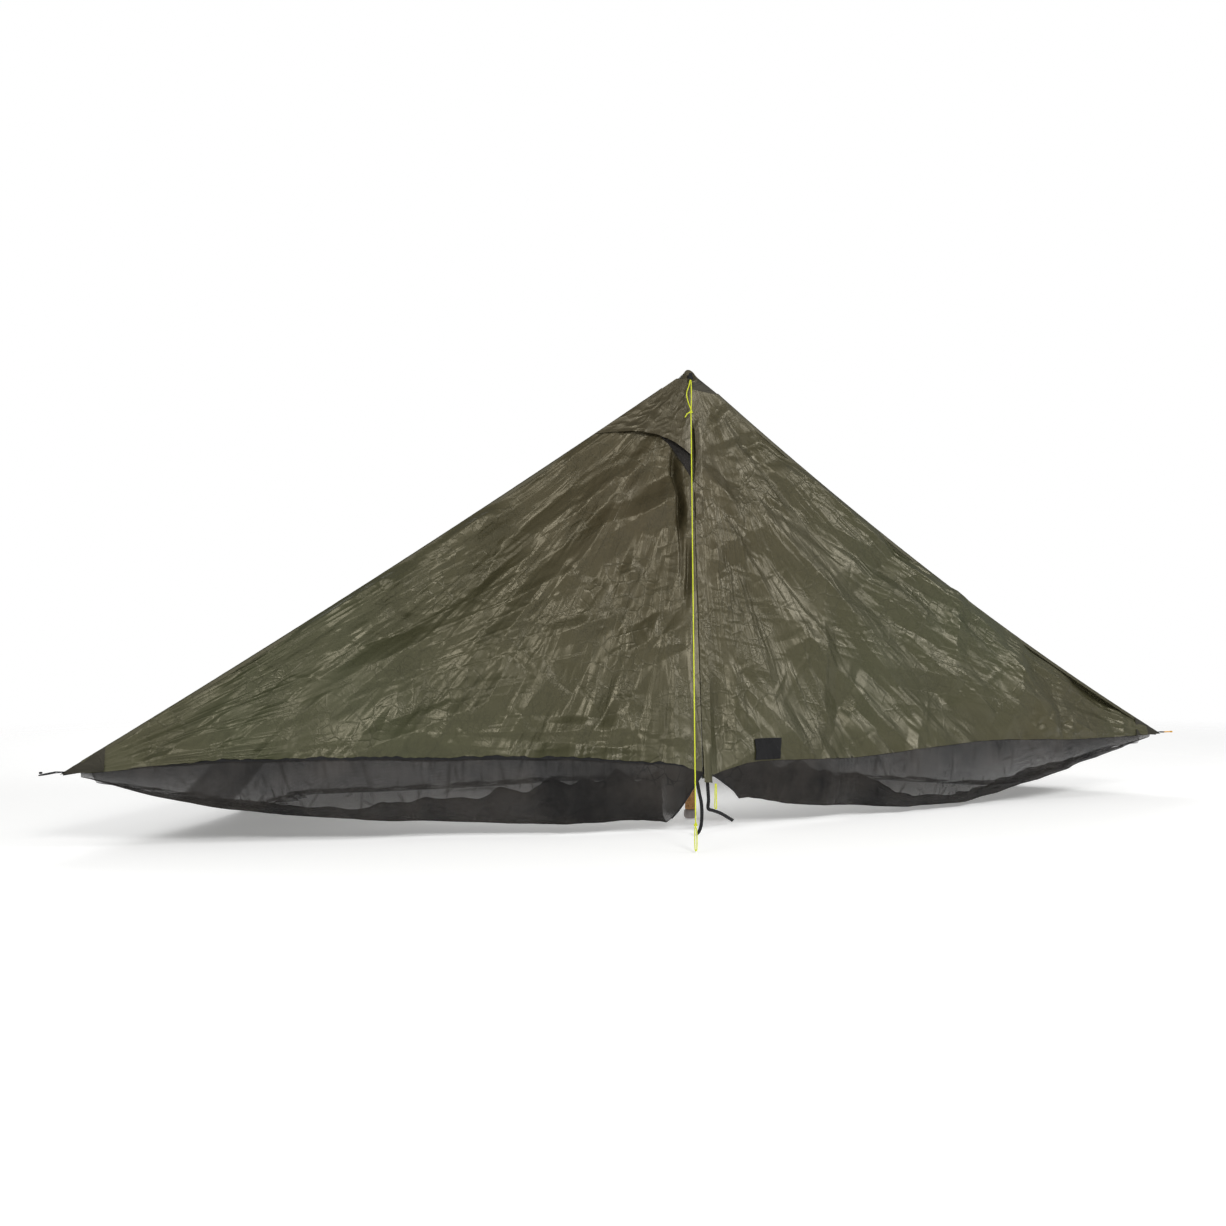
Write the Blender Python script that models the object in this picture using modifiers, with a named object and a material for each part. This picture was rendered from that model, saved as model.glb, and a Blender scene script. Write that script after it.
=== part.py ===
"""One-person pyramid tarp with an insect-netting skirt, pitched on one trekking pole.

Metres, +Z up. The origin is on the ground under the pole's foot. The doors are on the -Y side and
the long ridge runs along X. Cloth is drawn as plates of one thickness, so that each has a volume.
"""

import math

import bmesh
import bpy
import numpy as np
from mathutils import Matrix, Vector

# Pitch: the places that the cloth is held at.
PEAK_HEIGHT = 1.257
SIDE_REACH = 1.675
REAR_REACH = 1.05
REAR_HALF_WIDTH = 0.95
REAR_MID_REACH = 1.18
CORNER_HEIGHT = 0.186
PULL_BEARING = math.radians(23.0)  # the front pull points this far round from square to the ridge

# Cloth, seams and hems.
CLOTH = 0.0010
NET = 0.0010
SEAM = 0.0012  # each panel stops this far short of the seam line
JOIN = 0.0006  # gap between a panel, its hem tape and its skirt
HEM_TAPE = 0.014
HEM_RISE = 0.022  # the hem of a held panel rises this much between its corners
HEM_BOW = 0.035  # and draws in by this much
PANEL_SAG = 0.030
RIDGE_SAG_LEFT = 0.017
RIDGE_SAG_RIGHT = 0.050
RIDGE_SAG_REAR = 0.025
CAP_SHARE = 0.052  # the peak cap covers this share of each ridge
PATCH_SHARE = 0.060  # each corner patch covers this share of its ridge and hem
PATCH_GAP = 0.015  # from this share of the way
PATCH_TIP = 0.93  # to this share of the way to its corner
HEM_TAPE_END = 0.012  # the held panels' tape stops this share of a hem short of each side corner

# Doors.
ZIP_TOP_HEIGHT = 0.930
ZIP_FOOT_OUT = 0.270
ZIP_FOOT_ACROSS = 0.021
ZIP_FOOT_HEIGHT = 0.134
ZIP_TAPE = 0.012
ZIP_GAP = 0.0013  # half of the space between the two tapes
FOLD_DEPTH = 0.009
FOLD_COUNT = 3
FAN_SPREAD = 1.9
FAN_START = 0.03  # the folds meet this share of a door to the far side of the zip

# Heights of the front hems and of the netting's lowest line, from the zip to the corner.
LEFT_HEM = ((0.0, 0.152), (0.06, 0.172), (0.17, 0.185), (0.36, 0.200), (0.75, 0.206), (1.0, 0.186))
RIGHT_HEM = (
    (0.0, 0.132), (0.08, 0.176), (0.21, 0.168), (0.32, 0.170), (0.60, 0.199), (0.74, 0.182), (1.0, 0.186),
)
LEFT_NET = ((0.0, 0.030), (0.27, 0.026), (0.52, 0.047), (0.72, 0.077), (0.83, 0.111), (0.90, 0.146), (0.96, 0.172))
RIGHT_NET = (
    (0.0, 0.075), (0.165, 0.042), (0.40, 0.016), (0.57, 0.012), (0.68, 0.058), (0.79, 0.106), (0.90, 0.146),
    (0.96, 0.172),
)
# The same for the end nettings, from the side corner to the rear one.
LEFT_END_NET = ((0.0, 0.160), (0.20, 0.146), (0.30, 0.119), (0.50, 0.045), (0.62, 0.0), (1.0, 0.0))
RIGHT_END_NET = ((0.0, 0.160), (0.10, 0.148), (0.20, 0.067), (0.34, 0.0), (1.0, 0.0))
SMOOTHING = ((-0.05, 0.1), (-0.025, 0.2), (0.0, 0.4), (0.025, 0.2), (0.05, 0.1))  # offset and weight
NET_FLARE = 0.045  # the netting's end at the zip leans away by this share of the hem
NET_START = 0.010
NET_END = 0.955
NET_LEAST = 0.012  # the netting is at least this high
NET_FULL = 0.120  # and has its whole tuck and ruffle from this height on
NET_DROP = 0.0032  # from a door's hem to its netting
DOOR_COLUMNS = 20
NET_TUCK = 0.050  # the netting draws in by this much on its way down
NET_BUNCH = 0.070  # and lies this far in along the ground
NET_RUFFLE = 0.012
NET_RUFFLES = 11
NET_FLAT_FROM = 0.66  # share of the netting's height that hangs
NET_GAP = 0.002  # the held netting stops this share of a hem short of its corners

# Peak vent, storm flap, label and trim.
VENT_SHARE = 0.156
VENT_BOW = 0.060  # the cloth under the vent rises towards the peak by this much between its ends
HOOD_SHARE = 0.172
HOOD_FOOT_HEIGHT = 1.005
HOOD_LIFT = 0.022
HOOD_STAND = 0.0022
HOOD_ARC = 0.16
FLAP_WIDTH = 0.027
FLAP_STAND = 0.0018
FLAP_RISE = 0.0055
FLAP_END = 1.008  # the flap ends at this share of the zip's length
FLAP_JOINT = 0.003  # from the door's fold line to the flap, and to its fixed part's seam
FLAP_CORNER = 0.019  # cut off its top corner, which would cross the fold line when the flap lies open
FLAP_CLEAR = 0.007  # more room at the fixed part's free edge, which the flap sweeps when the door swings
FLAP_TOP_SHARE = 0.083
LABEL_WIDTH = 0.080
LABEL_HEIGHT = 0.057
LABEL_PLACE = 0.116
LABEL_UP = 0.008
LABEL_STAND = 0.0034
TAB_LENGTH = 0.024
TAB_WIDTH = 0.010
TAB_HEIGHT = 0.0076
TAB_WALL = 0.0012
CORD = 0.0030
LOOP_LENGTH = 0.040
LOOP_WIDTH = 0.0145
LOOP_PLAY = 0.0024  # room between a cord loop and its webbing
TAB_SEWN = 0.004  # the webbing starts this far back on the patch
TAB_RAISE = 0.0025
PULL_OUT_SHARE = 0.42
PULL_OUT_SIZE = 0.024
PULL_OUT_STAND = 0.0014
PULL_OUT_TAPER = 0.4

# Ribbon ties and pull loop at the doors' foot, as (out, across, height) along the front pull.
LEFT_RIBBON = (
    (0.272, 0.006, 0.1294), (0.276, 0.011, 0.100), (0.280, 0.0160, 0.075), (0.290, 0.0170, 0.048),
    (0.312, 0.0140, 0.022), (0.338, 0.0070, 0.0085), (0.360, 0.0010, 0.0055),
)
RIGHT_RIBBON = (
    (0.260, 0.034, 0.1174), (0.262, 0.036, 0.082), (0.260, 0.0355, 0.058), (0.240, 0.050, 0.050),
    (0.205, 0.073, 0.038), (0.155, 0.098, 0.019), (0.122, 0.111, 0.008),
)
RIBBON_STEPS = 15
RIBBON_WIDTH = 0.009
PULL_LOOP_TOP = (0.262, 0.055, 0.118)
PULL_LOOP_LENGTH = 0.060
PULL_LOOP_WIDTH = 0.007
PULL_LOOP_CORD = 0.0028

# Guyline.
GUY_REACH = 0.660
GUY_ACROSS = -0.0175
GUY_DROP = 0.035
GUY_TOP = PEAK_HEIGHT - GUY_DROP
GUY_TOP_OUT = 0.030
GUY_LOOP = 0.105
GUY_SAG = 0.004
STAKE_LOOP = 0.070
STAKE_LOOP_WIDTH = 0.0085
KNOT_RADIUS = 0.0042
GUY_TAIL = ((0.005, 0.012), (0.024, 0.017))  # down the line and sideways from the knot

# Trekking pole, from the ground up.
GROMMET_DROP = 0.023  # the grommet's middle lies this far below the peak
GROMMET_HEIGHT = PEAK_HEIGHT - GROMMET_DROP
TIP_PROUD = 0.012  # the pole's tip stands this far over the grommet's middle
POLE_TOP = GROMMET_HEIGHT + TIP_PROUD
TIP_DROP = 0.044  # and its lower tube ends this far below it
GROMMET_OUTER = 0.0090
GROMMET_INNER = 0.0052
GROMMET_THICK = 0.0024
GROMMET_TILT = math.radians(45.0)
CREST_HALF_WIDTH = 0.016  # the cloth stands up round the grommet in a tilted rim
CREST_DEPTH = 0.012
CREST_DROP = 0.005
CAP_HEIGHT = 0.025
CAP_PROFILE = (
    (0.0, CAP_HEIGHT), (0.0140, CAP_HEIGHT), (0.0172, 0.020), (0.0178, 0.012), (0.0168, 0.004), (0.0125, 0.0),
    (0.0, 0.0),
)
GRIP_TOP = 0.150
GRIP_PROFILE = (
    (0.0118, GRIP_TOP), (0.0138, 0.144), (0.0140, 0.130), (0.0128, 0.105), (0.0146, 0.075), (0.0132, 0.050),
    (0.0150, 0.032),
)
GRIP_FOOT_RADIUS = 0.0140
TUBE_RADII = (0.0090, 0.0079, 0.0068)  # upper, middle and lower tube
TUBE_WALL = 0.0008
TUBE_FIT = 0.0003
UPPER_TUBE_TOP = 0.500
MIDDLE_TUBE_FOOT = 0.400
MIDDLE_TUBE_TOP = 0.860
LOWER_TUBE_FOOT = 0.760
LOWER_TUBE_TOP = GROMMET_HEIGHT - TIP_DROP
TIP_RADIUS = 0.0022
TIP_POINT_RADIUS = 0.0015
TIP_POINT = 0.004  # length of the tapered point
TIP_PIN = 0.012  # the pin runs this far below the grommet's middle
TIP_SHOULDER = (0.0048, 0.018)  # radius, and depth below the grommet's middle
TIP_SLEEVE = 0.006
TIP_STUB = 0.020
TURN_STEPS = 20
COLLAR_WALL = 0.0042
COLLAR_HEIGHT = 0.028
COLLAR_OVER = 0.002  # the collar stands this far over its tube's end
EAR_WIDTH = 0.0070
EAR_THICK = 0.0037
EAR_REACH = 0.0060
EAR_ROOT = 0.0012  # the ear starts this deep in the collar
LEVER_THICK = 0.0024
LEVER_CLEAR = 0.0008  # from the collar to the closed lever
LEVER_ARC = math.radians(150.0)
LEVER_BACK = math.radians(5.0)  # the lever starts this far behind its pin
LEVER_FLARE = 0.0016
LEVER_FLARE_FROM = 0.75
PIN_RADIUS = 0.0008

# Zip slider.
SLIDER_LENGTH = 0.016
SLIDER_WIDTH = 0.008
SLIDER_STAND = 0.0009
SLIDER_PLATE = 0.0017
SLIDER_BRIDGE = 0.0009
SLIDER_UP = 0.026
PULL_LENGTH = 0.026
PULL_WIDTH = 0.006
PULL_THICK = 0.0012
PULL_STAND = 0.0004
PULL_UP = 0.004
PULL_TAPER = 0.35

OLIVE = (0.105, 0.100, 0.065)
DARK_PATCH = (0.030, 0.031, 0.028)
BLACK = (0.008, 0.008, 0.009)
NET_BLACK = (0.012, 0.012, 0.013)
YELLOW = (0.700, 0.720, 0.030)
AMBER = (0.800, 0.420, 0.040)
CORK = (0.480, 0.220, 0.080)
GREY = (0.300, 0.285, 0.275)
ALLOY = (0.350, 0.350, 0.360)

PEAK = np.array([0.0, 0.0, PEAK_HEIGHT])
FLOOR_MIDDLE = np.array([0.0, REAR_MID_REACH * 0.4, 0.0])
CORNERS = {
    "left": np.array([-SIDE_REACH, 0.0, CORNER_HEIGHT]),
    "rear_left": np.array([-REAR_HALF_WIDTH, REAR_REACH, CORNER_HEIGHT]),
    "rear_mid": np.array([0.0, REAR_MID_REACH, CORNER_HEIGHT]),
    "rear_right": np.array([REAR_HALF_WIDTH, REAR_REACH, CORNER_HEIGHT]),
    "right": np.array([SIDE_REACH, 0.0, CORNER_HEIGHT]),
}
SAGS = {"left": RIDGE_SAG_LEFT, "right": RIDGE_SAG_RIGHT}
FRONT_HEMS = {"left": LEFT_HEM, "right": RIGHT_HEM}
NET_LINES = {"left": LEFT_NET, "right": RIGHT_NET}


def front_point(out, across, height):
    """The point that is this far out along the front pull and this far to its right."""
    sine, cosine = math.sin(PULL_BEARING), math.cos(PULL_BEARING)
    return np.array([-sine * out + cosine * across, -cosine * out - sine * across, height])


def lerp(start, end, share):
    return start + (end - start) * share


def unit(vector):
    return vector / np.linalg.norm(vector)


def arch(share):
    """0 at both ends and 1 in the middle."""
    return 4.0 * share * (1.0 - share)


def smooth_table(table, share):
    """The height at this share of the hem, on a smooth curve through the listed heights."""
    places, heights = zip(*table)
    return float(sum(weight * np.interp(share + offset, places, heights) for offset, weight in SMOOTHING))


def between(place, places, points):
    """The point at this place of a line of points that lie at the given places."""
    return np.array([np.interp(place, places, [point[axis] for point in points]) for axis in range(3)])


def drawn_in(start, end, at_start, at_end):
    """The two ends of a straight line, each moved along it by the given length."""
    along = unit(end - start)
    return start + along * at_start, end - along * at_end


ZIP_FOOT = front_point(ZIP_FOOT_OUT, ZIP_FOOT_ACROSS, ZIP_FOOT_HEIGHT)
ZIP_TOP = lerp(PEAK, ZIP_FOOT, (PEAK_HEIGHT - ZIP_TOP_HEIGHT) / (PEAK_HEIGHT - ZIP_FOOT_HEIGHT))
ZIP_LENGTH = float(np.linalg.norm(ZIP_TOP - ZIP_FOOT))
ZIP_UP = unit(ZIP_TOP - ZIP_FOOT)


def ridge(corner, share):
    point = lerp(PEAK, CORNERS[corner], share)
    return point - np.array([0.0, 0.0, SAGS.get(corner, RIDGE_SAG_REAR) * arch(share)])


def zip_line(height):
    """The point of the line from the peak to the doors' foot at this height."""
    return lerp(PEAK, ZIP_FOOT, (PEAK_HEIGHT - height) / (PEAK_HEIGHT - ZIP_FOOT_HEIGHT))


def outward(first, second):
    """The normal, away from the inside, of the flat triangle of the peak and two corners."""
    normal = unit(np.cross(CORNERS[first] - PEAK, CORNERS[second] - PEAK))
    return normal if np.dot(normal, CORNERS[first] + CORNERS[second]) > 0 else -normal


def away_from_pole(first, second):
    """The level direction from the pole, square to the hem between two corners."""
    along = CORNERS[second] - CORNERS[first]
    square = unit(np.array([along[1], -along[0], 0.0]))
    return square if np.dot(square, CORNERS[first] + CORNERS[second]) > 0 else -square


def held_hem(first, second, share):
    """The lower edge of a held panel, cut to a shallow curve between its corners."""
    point = lerp(CORNERS[first], CORNERS[second], share)
    point = point - away_from_pole(first, second) * HEM_BOW * arch(share)
    return point + np.array([0.0, 0.0, HEM_RISE * arch(share)])


def held_point(first, second, across, down):
    """A point of a held panel: across runs between its ridges, down from the peak to the hem."""
    start, end = drawn_in(ridge(first, down), ridge(second, down), SEAM, SEAM)
    hem_shift = held_hem(first, second, across) - lerp(CORNERS[first], CORNERS[second], across)
    sag = PANEL_SAG * arch(across) * math.sin(math.pi * down)
    return lerp(start, end, across) + hem_shift * down**3 - outward(first, second) * sag


def fold_line(side, share):
    """The straight line that a door hangs from: the zip's top end to the side corner."""
    return lerp(ZIP_TOP, CORNERS[side], share)


def front_hem(side, share):
    """A point of a door's hem: in the door's plane, at the height that the hem has there."""
    low, high = lerp(ZIP_FOOT, CORNERS[side], share), fold_line(side, share)
    return lerp(low, high, (smooth_table(FRONT_HEMS[side], share) - low[2]) / (high[2] - low[2]))


def front_normal(side):
    """The outward normal of a door's flat triangle."""
    normal = unit(np.cross(CORNERS[side] - ZIP_TOP, ZIP_FOOT - ZIP_TOP))
    return normal if normal[1] < 0 else -normal


def folds(share, down):
    """Main folds that fan out of the zip's top end and die away at every edge."""
    fan = math.atan2(down * (1.0 - share), FAN_SPREAD * (share + FAN_START)) / (math.pi / 2)
    fade = math.sin(math.pi * down) * math.sqrt(max(arch(min(share, 1.0)), 0.0))
    return FOLD_DEPTH * fade * math.sin(2.0 * math.pi * FOLD_COUNT * fan)


def door_point(side, share, down, top_gap=0.0, foot_gap=0.0, lift=0.0):
    """A point of a door: share runs from the zip to the corner, down from the fold line to the hem."""
    top, foot = drawn_in(fold_line(side, share), front_hem(side, share), top_gap, foot_gap)
    return lerp(top, foot, down) + front_normal(side) * (folds(share, down) + lift)


PARTS = None
CUTTERS = None
MATERIALS = {}


def clear_scene():
    for thing in list(bpy.data.objects):
        bpy.data.objects.remove(thing, do_unlink=True)


def make_collection(name):
    collection = bpy.data.collections.new(name)
    bpy.context.scene.collection.children.link(collection)
    return collection


def material(name, colour, roughness, metallic=0.0):
    """One material for each sub-part, made the first time that its name is used."""
    if name not in MATERIALS:
        made = bpy.data.materials.new(name)
        made.use_nodes = True
        shader = made.node_tree.nodes["Principled BSDF"]
        shader.inputs["Base Color"].default_value = (*colour, 1.0)
        shader.inputs["Roughness"].default_value = roughness
        shader.inputs["Metallic"].default_value = metallic
        MATERIALS[name] = made
    return MATERIALS[name]


def add_object(name, data, colour, roughness, metallic=0.0):
    thing = bpy.data.objects.new(name, data)
    PARTS.objects.link(thing)
    data.materials.append(material(name, colour, roughness, metallic))
    return thing


def set_origin(thing, origin):
    """Puts the object's origin on its joint's axis and leaves its shape where it is."""
    thing.data.transform(Matrix.Translation(-Vector(origin)))
    thing.location = origin


def cloth(name, surface, columns, rows, colour, thick=CLOTH, ring=False, roughness=0.5):
    """A plate of cloth: a grid placed by surface(across, down), given its thickness by Solidify."""
    grid = bmesh.new()
    bmesh.ops.create_grid(grid, x_segments=columns, y_segments=rows, size=0.5)
    for vertex in grid.verts:
        vertex.co = Vector(surface(vertex.co.x + 0.5, 0.5 - vertex.co.y))
    if ring:
        bmesh.ops.remove_doubles(grid, verts=grid.verts, dist=1e-6)
    mesh = bpy.data.meshes.new(name)
    grid.to_mesh(mesh)
    grid.free()
    mesh.shade_smooth()
    thing = add_object(name, mesh, colour, roughness)
    wall = thing.modifiers.new("Thickness", "SOLIDIFY")
    wall.thickness = thick
    wall.offset = 0.0
    return thing


def wire(name, points, radius, colour, closed=False, roughness=0.6):
    """A cord or rod of this radius along the points."""
    curve = bpy.data.curves.new(name, "CURVE")
    curve.dimensions = "3D"
    curve.bevel_depth = radius
    curve.bevel_resolution = 2
    curve.use_fill_caps = not closed
    spline = curve.splines.new("POLY")
    spline.points.add(len(points) - 1)
    for place, point in zip(spline.points, points):
        place.co = (*point, 1.0)
    spline.use_cyclic_u = closed
    return add_object(name, curve, colour, roughness)


def turned(name, profile, colour, roughness, metallic=0.0, steps=TURN_STEPS, closed=False):
    """A shape turned about Z from (radius, height) points that run down its outer side."""
    mesh = bpy.data.meshes.new(name)
    edges = [(i, i + 1) for i in range(len(profile) - 1)]
    if closed:
        edges.append((len(profile) - 1, 0))
    mesh.from_pydata([(radius, 0.0, height) for radius, height in profile], edges, [])
    thing = add_object(name, mesh, colour, roughness, metallic)
    screw = thing.modifiers.new("Turn", "SCREW")
    screw.steps = screw.render_steps = steps
    screw.use_merge_vertices = True
    screw.merge_threshold = 1e-5
    screw.use_smooth_shade = True
    return thing


def boolean(thing, other, operation):
    change = thing.modifiers.new(operation.title(), "BOOLEAN")
    change.operation = operation
    change.use_self = operation == "UNION"
    change.object = other


def hide_as_tool(thing):
    """Moves an object to the cutters, where it is only a Boolean's other half."""
    PARTS.objects.unlink(thing)
    CUTTERS.objects.link(thing)
    thing.hide_render = True
    thing.display_type = "WIRE"


def curve_to_mesh(thing):
    """The curve object made a mesh object of the same name, with its caps welded on."""
    graph = bpy.context.evaluated_depsgraph_get()
    mesh = bpy.data.meshes.new_from_object(thing.evaluated_get(graph))
    shape = bmesh.new()
    shape.from_mesh(mesh)
    bmesh.ops.remove_doubles(shape, verts=shape.verts, dist=1e-6)
    shape.to_mesh(mesh)
    shape.free()
    name, place = thing.name, thing.matrix_world.copy()
    bpy.data.objects.remove(thing)
    made = bpy.data.objects.new(name, mesh)
    made.matrix_world = place
    PARTS.objects.link(made)
    return made


def sewn_on(thing, other):
    """Joins another shape to this one, as where a loop is sewn to its patch."""
    other = curve_to_mesh(other) if other.type == "CURVE" else other
    hide_as_tool(other)
    boolean(thing, other, "UNION")


def tube_profile(outer, inner, foot, top):
    return [(outer, top), (outer, foot), (inner, foot), (inner, top)]


def knot(name, place, colour, radius=KNOT_RADIUS):
    """A small round knot."""
    shape = bmesh.new()
    bmesh.ops.create_uvsphere(shape, u_segments=10, v_segments=6, radius=radius)
    mesh = bpy.data.meshes.new(name)
    shape.to_mesh(mesh)
    shape.free()
    mesh.transform(Matrix.Translation(place))
    mesh.shade_smooth()
    return add_object(name, mesh, colour, 0.6)


def held_panel(name, first, second, columns=12, rows=8):
    """A triangular panel between two ridges, with its lower corners cut off for the patches."""

    def surface(across, down):
        columns_at, shares_at = (0, 1 / columns, 1 - 1 / columns, 1), (0, PATCH_SHARE, 1 - PATCH_SHARE, 1)
        across = float(np.interp(across, columns_at, shares_at))
        cut = PATCH_SHARE * max(0.0, 1.0 - min(across, 1.0 - across) / PATCH_SHARE)
        top = CAP_SHARE + JOIN
        return held_point(first, second, across, lerp(top, 1.0 - cut, down))

    return cloth(name, surface, columns, rows, OLIVE)


def perimeter_hem_tape(columns=48):
    """The tape along the lower edge of the held panels, from one side corner round to the other."""
    order = list(CORNERS)
    sides = len(order) - 1

    def surface(across, down):
        place = lerp(HEM_TAPE_END, sides - HEM_TAPE_END, across)
        index = min(int(place), sides - 1)
        point = held_hem(order[index], order[index + 1], place - index)
        return point - np.array([0.0, 0.0, JOIN + CLOTH + HEM_TAPE * down])

    return cloth("perimeter_hem_tape", surface, columns, 1, BLACK)


def net_section(top, out, low, across, down):
    """A point of hanging netting: it falls in ruffles from top to low, then lies in at that height."""
    size = min(1.0, (top[2] - low) / NET_FULL)
    fall = min(1.0, down / NET_FLAT_FROM)
    lying = max(0.0, down - NET_FLAT_FROM) / (1.0 - NET_FLAT_FROM)
    ruffle = NET_RUFFLE * math.sin(2.0 * math.pi * NET_RUFFLES * across)
    point = top + out * size * (ruffle * fall - NET_TUCK * fall**1.5 - NET_BUNCH * lying)
    point[2] = lerp(top[2], low, fall)
    return point


def held_net(name, first, second, columns=26):
    """The netting below a held panel. It lies on the ground, and rises towards a side corner."""

    def surface(across, down):
        place = lerp(NET_GAP, 1.0 - NET_GAP, across)
        top = held_hem(first, second, place) - np.array([0.0, 0.0, 2 * JOIN + 2 * CLOTH + HEM_TAPE])
        out = unit((top - FLOOR_MIDDLE) * np.array([1.0, 1.0, 0.0]))
        low = NET / 2
        if first == "left":
            low = max(low, smooth_table(LEFT_END_NET, place))
        if second == "right":
            low = max(low, smooth_table(RIGHT_END_NET, 1.0 - place))
        return net_section(top, out, min(low, top[2] - NET_LEAST), across, down)

    return cloth(name, surface, columns, 3, NET_BLACK, NET)


def vent_foot(across):
    """How far the cloth under the vent rises towards the peak: up to VENT_BOW between ridge and zip."""
    middle = lerp(ridge("left", VENT_SHARE), ZIP_TOP, 0.5)
    return unit(PEAK - middle) * VENT_BOW * arch(across)


def left_upper_front_panel(columns=12, rows=3):
    """The fixed cloth between the left ridge, the vent and the left door's fold line."""
    last = 1.0 - PATCH_SHARE

    def surface(across, down):
        above = ridge("left", lerp(VENT_SHARE, last, across))
        below = fold_line("left", lerp(0.0, last, across))
        reach = unit(CORNERS["left"] - ZIP_TOP) * SEAM * (1.0 - across)
        above, below = drawn_in(above, below, SEAM, SEAM)
        bow = vent_foot(down) * max(0.0, 1.0 - columns * across / 3.0) ** 2
        return lerp(above, below, down) + reach + bow

    return cloth("left_upper_front_panel", surface, columns, rows, OLIVE)


def right_upper_front_panel(columns=14, rows=3, beside_peak=2):
    """The fixed cloth from the peak cap and the right ridge down to the zip and the right door's fold line."""
    last = 1.0 - PATCH_SHARE
    high = CAP_SHARE + JOIN
    front = zip_line(PEAK_HEIGHT - (PEAK_HEIGHT - CORNER_HEIGHT) * high)
    bend = beside_peak / columns

    def surface(across, down):
        if across < bend:
            above = lerp(front, ridge("right", high), across / bend)
        else:
            above = ridge("right", lerp(high, last, (across - bend) / (1.0 - bend)))
        below = fold_line("right", last * across)
        reach = unit(CORNERS["right"] - ZIP_TOP) * SEAM * (1.0 - across)
        above, below = drawn_in(above, below, SEAM, SEAM)
        return lerp(above, below, down) + reach

    return cloth("right_upper_front_panel", surface, columns, rows, OLIVE)


def door_panel(name, side, columns=DOOR_COLUMNS, rows=6):
    """The door's cloth, between the zip tape, the fold line, the hem tape and the corner patch."""
    start = (ZIP_TAPE + ZIP_GAP + JOIN) / float(np.linalg.norm(CORNERS[side] - ZIP_FOOT))
    end = 1.0 - PATCH_SHARE - JOIN

    def surface(across, down):
        return door_point(side, lerp(start, end, across), down, SEAM, HEM_TAPE + JOIN)

    return cloth(name, surface, columns, rows, OLIVE)


def door_hem_tape(name, side, columns=DOOR_COLUMNS):
    start = (ZIP_TAPE + ZIP_GAP + JOIN) / float(np.linalg.norm(CORNERS[side] - ZIP_FOOT))
    end = 1.0 - PATCH_SHARE - JOIN

    def surface(across, down):
        share = lerp(start, end, across)
        top, foot = fold_line(side, share), front_hem(side, share)
        return foot + unit(top - foot) * HEM_TAPE * (1.0 - down)

    return cloth(name, surface, columns, 1, BLACK)


def zip_tape(name, side):
    """The tape along a door's zip edge. It is straight, so that the slider runs along it."""
    reach = float(np.linalg.norm(CORNERS[side] - ZIP_FOOT))

    def surface(across, down):
        share = (ZIP_GAP + ZIP_TAPE * across) / reach
        top, foot = drawn_in(fold_line(side, share), front_hem(side, share), SEAM, 0.0)
        return lerp(top, foot, down)

    return cloth(name, surface, 1, 8, BLACK)


def door_net(name, side, columns=26):
    """The netting below a door. Its end at the zip leans away, and it runs out before the corner."""
    along = CORNERS[side] - ZIP_FOOT
    square = unit(np.array([along[1], -along[0], 0.0]))
    out = square if square[1] < 0 else -square

    def surface(across, down):
        share = lerp(NET_START + NET_FLARE * down * (1.0 - across), NET_END, across)
        top = front_hem(side, share) - np.array([0.0, 0.0, NET_DROP])
        low = min(smooth_table(NET_LINES[side], share), top[2] - NET_LEAST)
        return net_section(top, out, low, across, down)

    return cloth(name, surface, columns, 3, NET_BLACK, NET)


def peak_cap():
    """The reinforcement over the peak, from the grommet's edge to where the panels start."""
    names = ("left", "rear_left", "rear_mid", "rear_right", "right")
    share = CAP_SHARE - JOIN
    front = zip_line(PEAK_HEIGHT - (PEAK_HEIGHT - CORNER_HEIGHT) * share)
    corners = [front, *(ridge(name, share) for name in names), front]
    bearings = np.unwrap([math.atan2(point[0], point[1]) for point in corners])
    bearings[0], bearings[-1] = bearings[1:-1].mean() - math.pi, bearings[1:-1].mean() + math.pi
    centre = np.array([0.0, 0.0, GROMMET_HEIGHT])

    def surface(across, down):
        bearing = lerp(bearings[0], bearings[-1], across)
        low = between(bearing, bearings, corners)
        sine, cosine = math.sin(bearing), math.cos(bearing)
        tilted = np.array([sine, cosine * math.cos(GROMMET_TILT), cosine * math.sin(GROMMET_TILT)])
        rim = centre + (GROMMET_OUTER + JOIN) * tilted
        rise = GROMMET_DROP - CREST_DROP
        crest = centre + np.array([CREST_HALF_WIDTH * sine, CREST_DEPTH * cosine, CREST_DROP + rise * cosine])
        return lerp(rim, crest, down * 4.0) if down <= 0.25 else lerp(crest, low, (down - 0.25) / 0.75)

    return cloth("peak_cap", surface, 24, 4, DARK_PATCH, ring=True)


def peak_grommet():
    ring = turned(
        "peak_grommet",
        tube_profile(GROMMET_OUTER, GROMMET_INNER, -GROMMET_THICK / 2, GROMMET_THICK / 2),
        BLACK,
        0.4,
        closed=True,
    )
    ring.matrix_world = Matrix.Translation((0, 0, GROMMET_HEIGHT)) @ Matrix.Rotation(GROMMET_TILT, 4, "X")
    return ring


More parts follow.
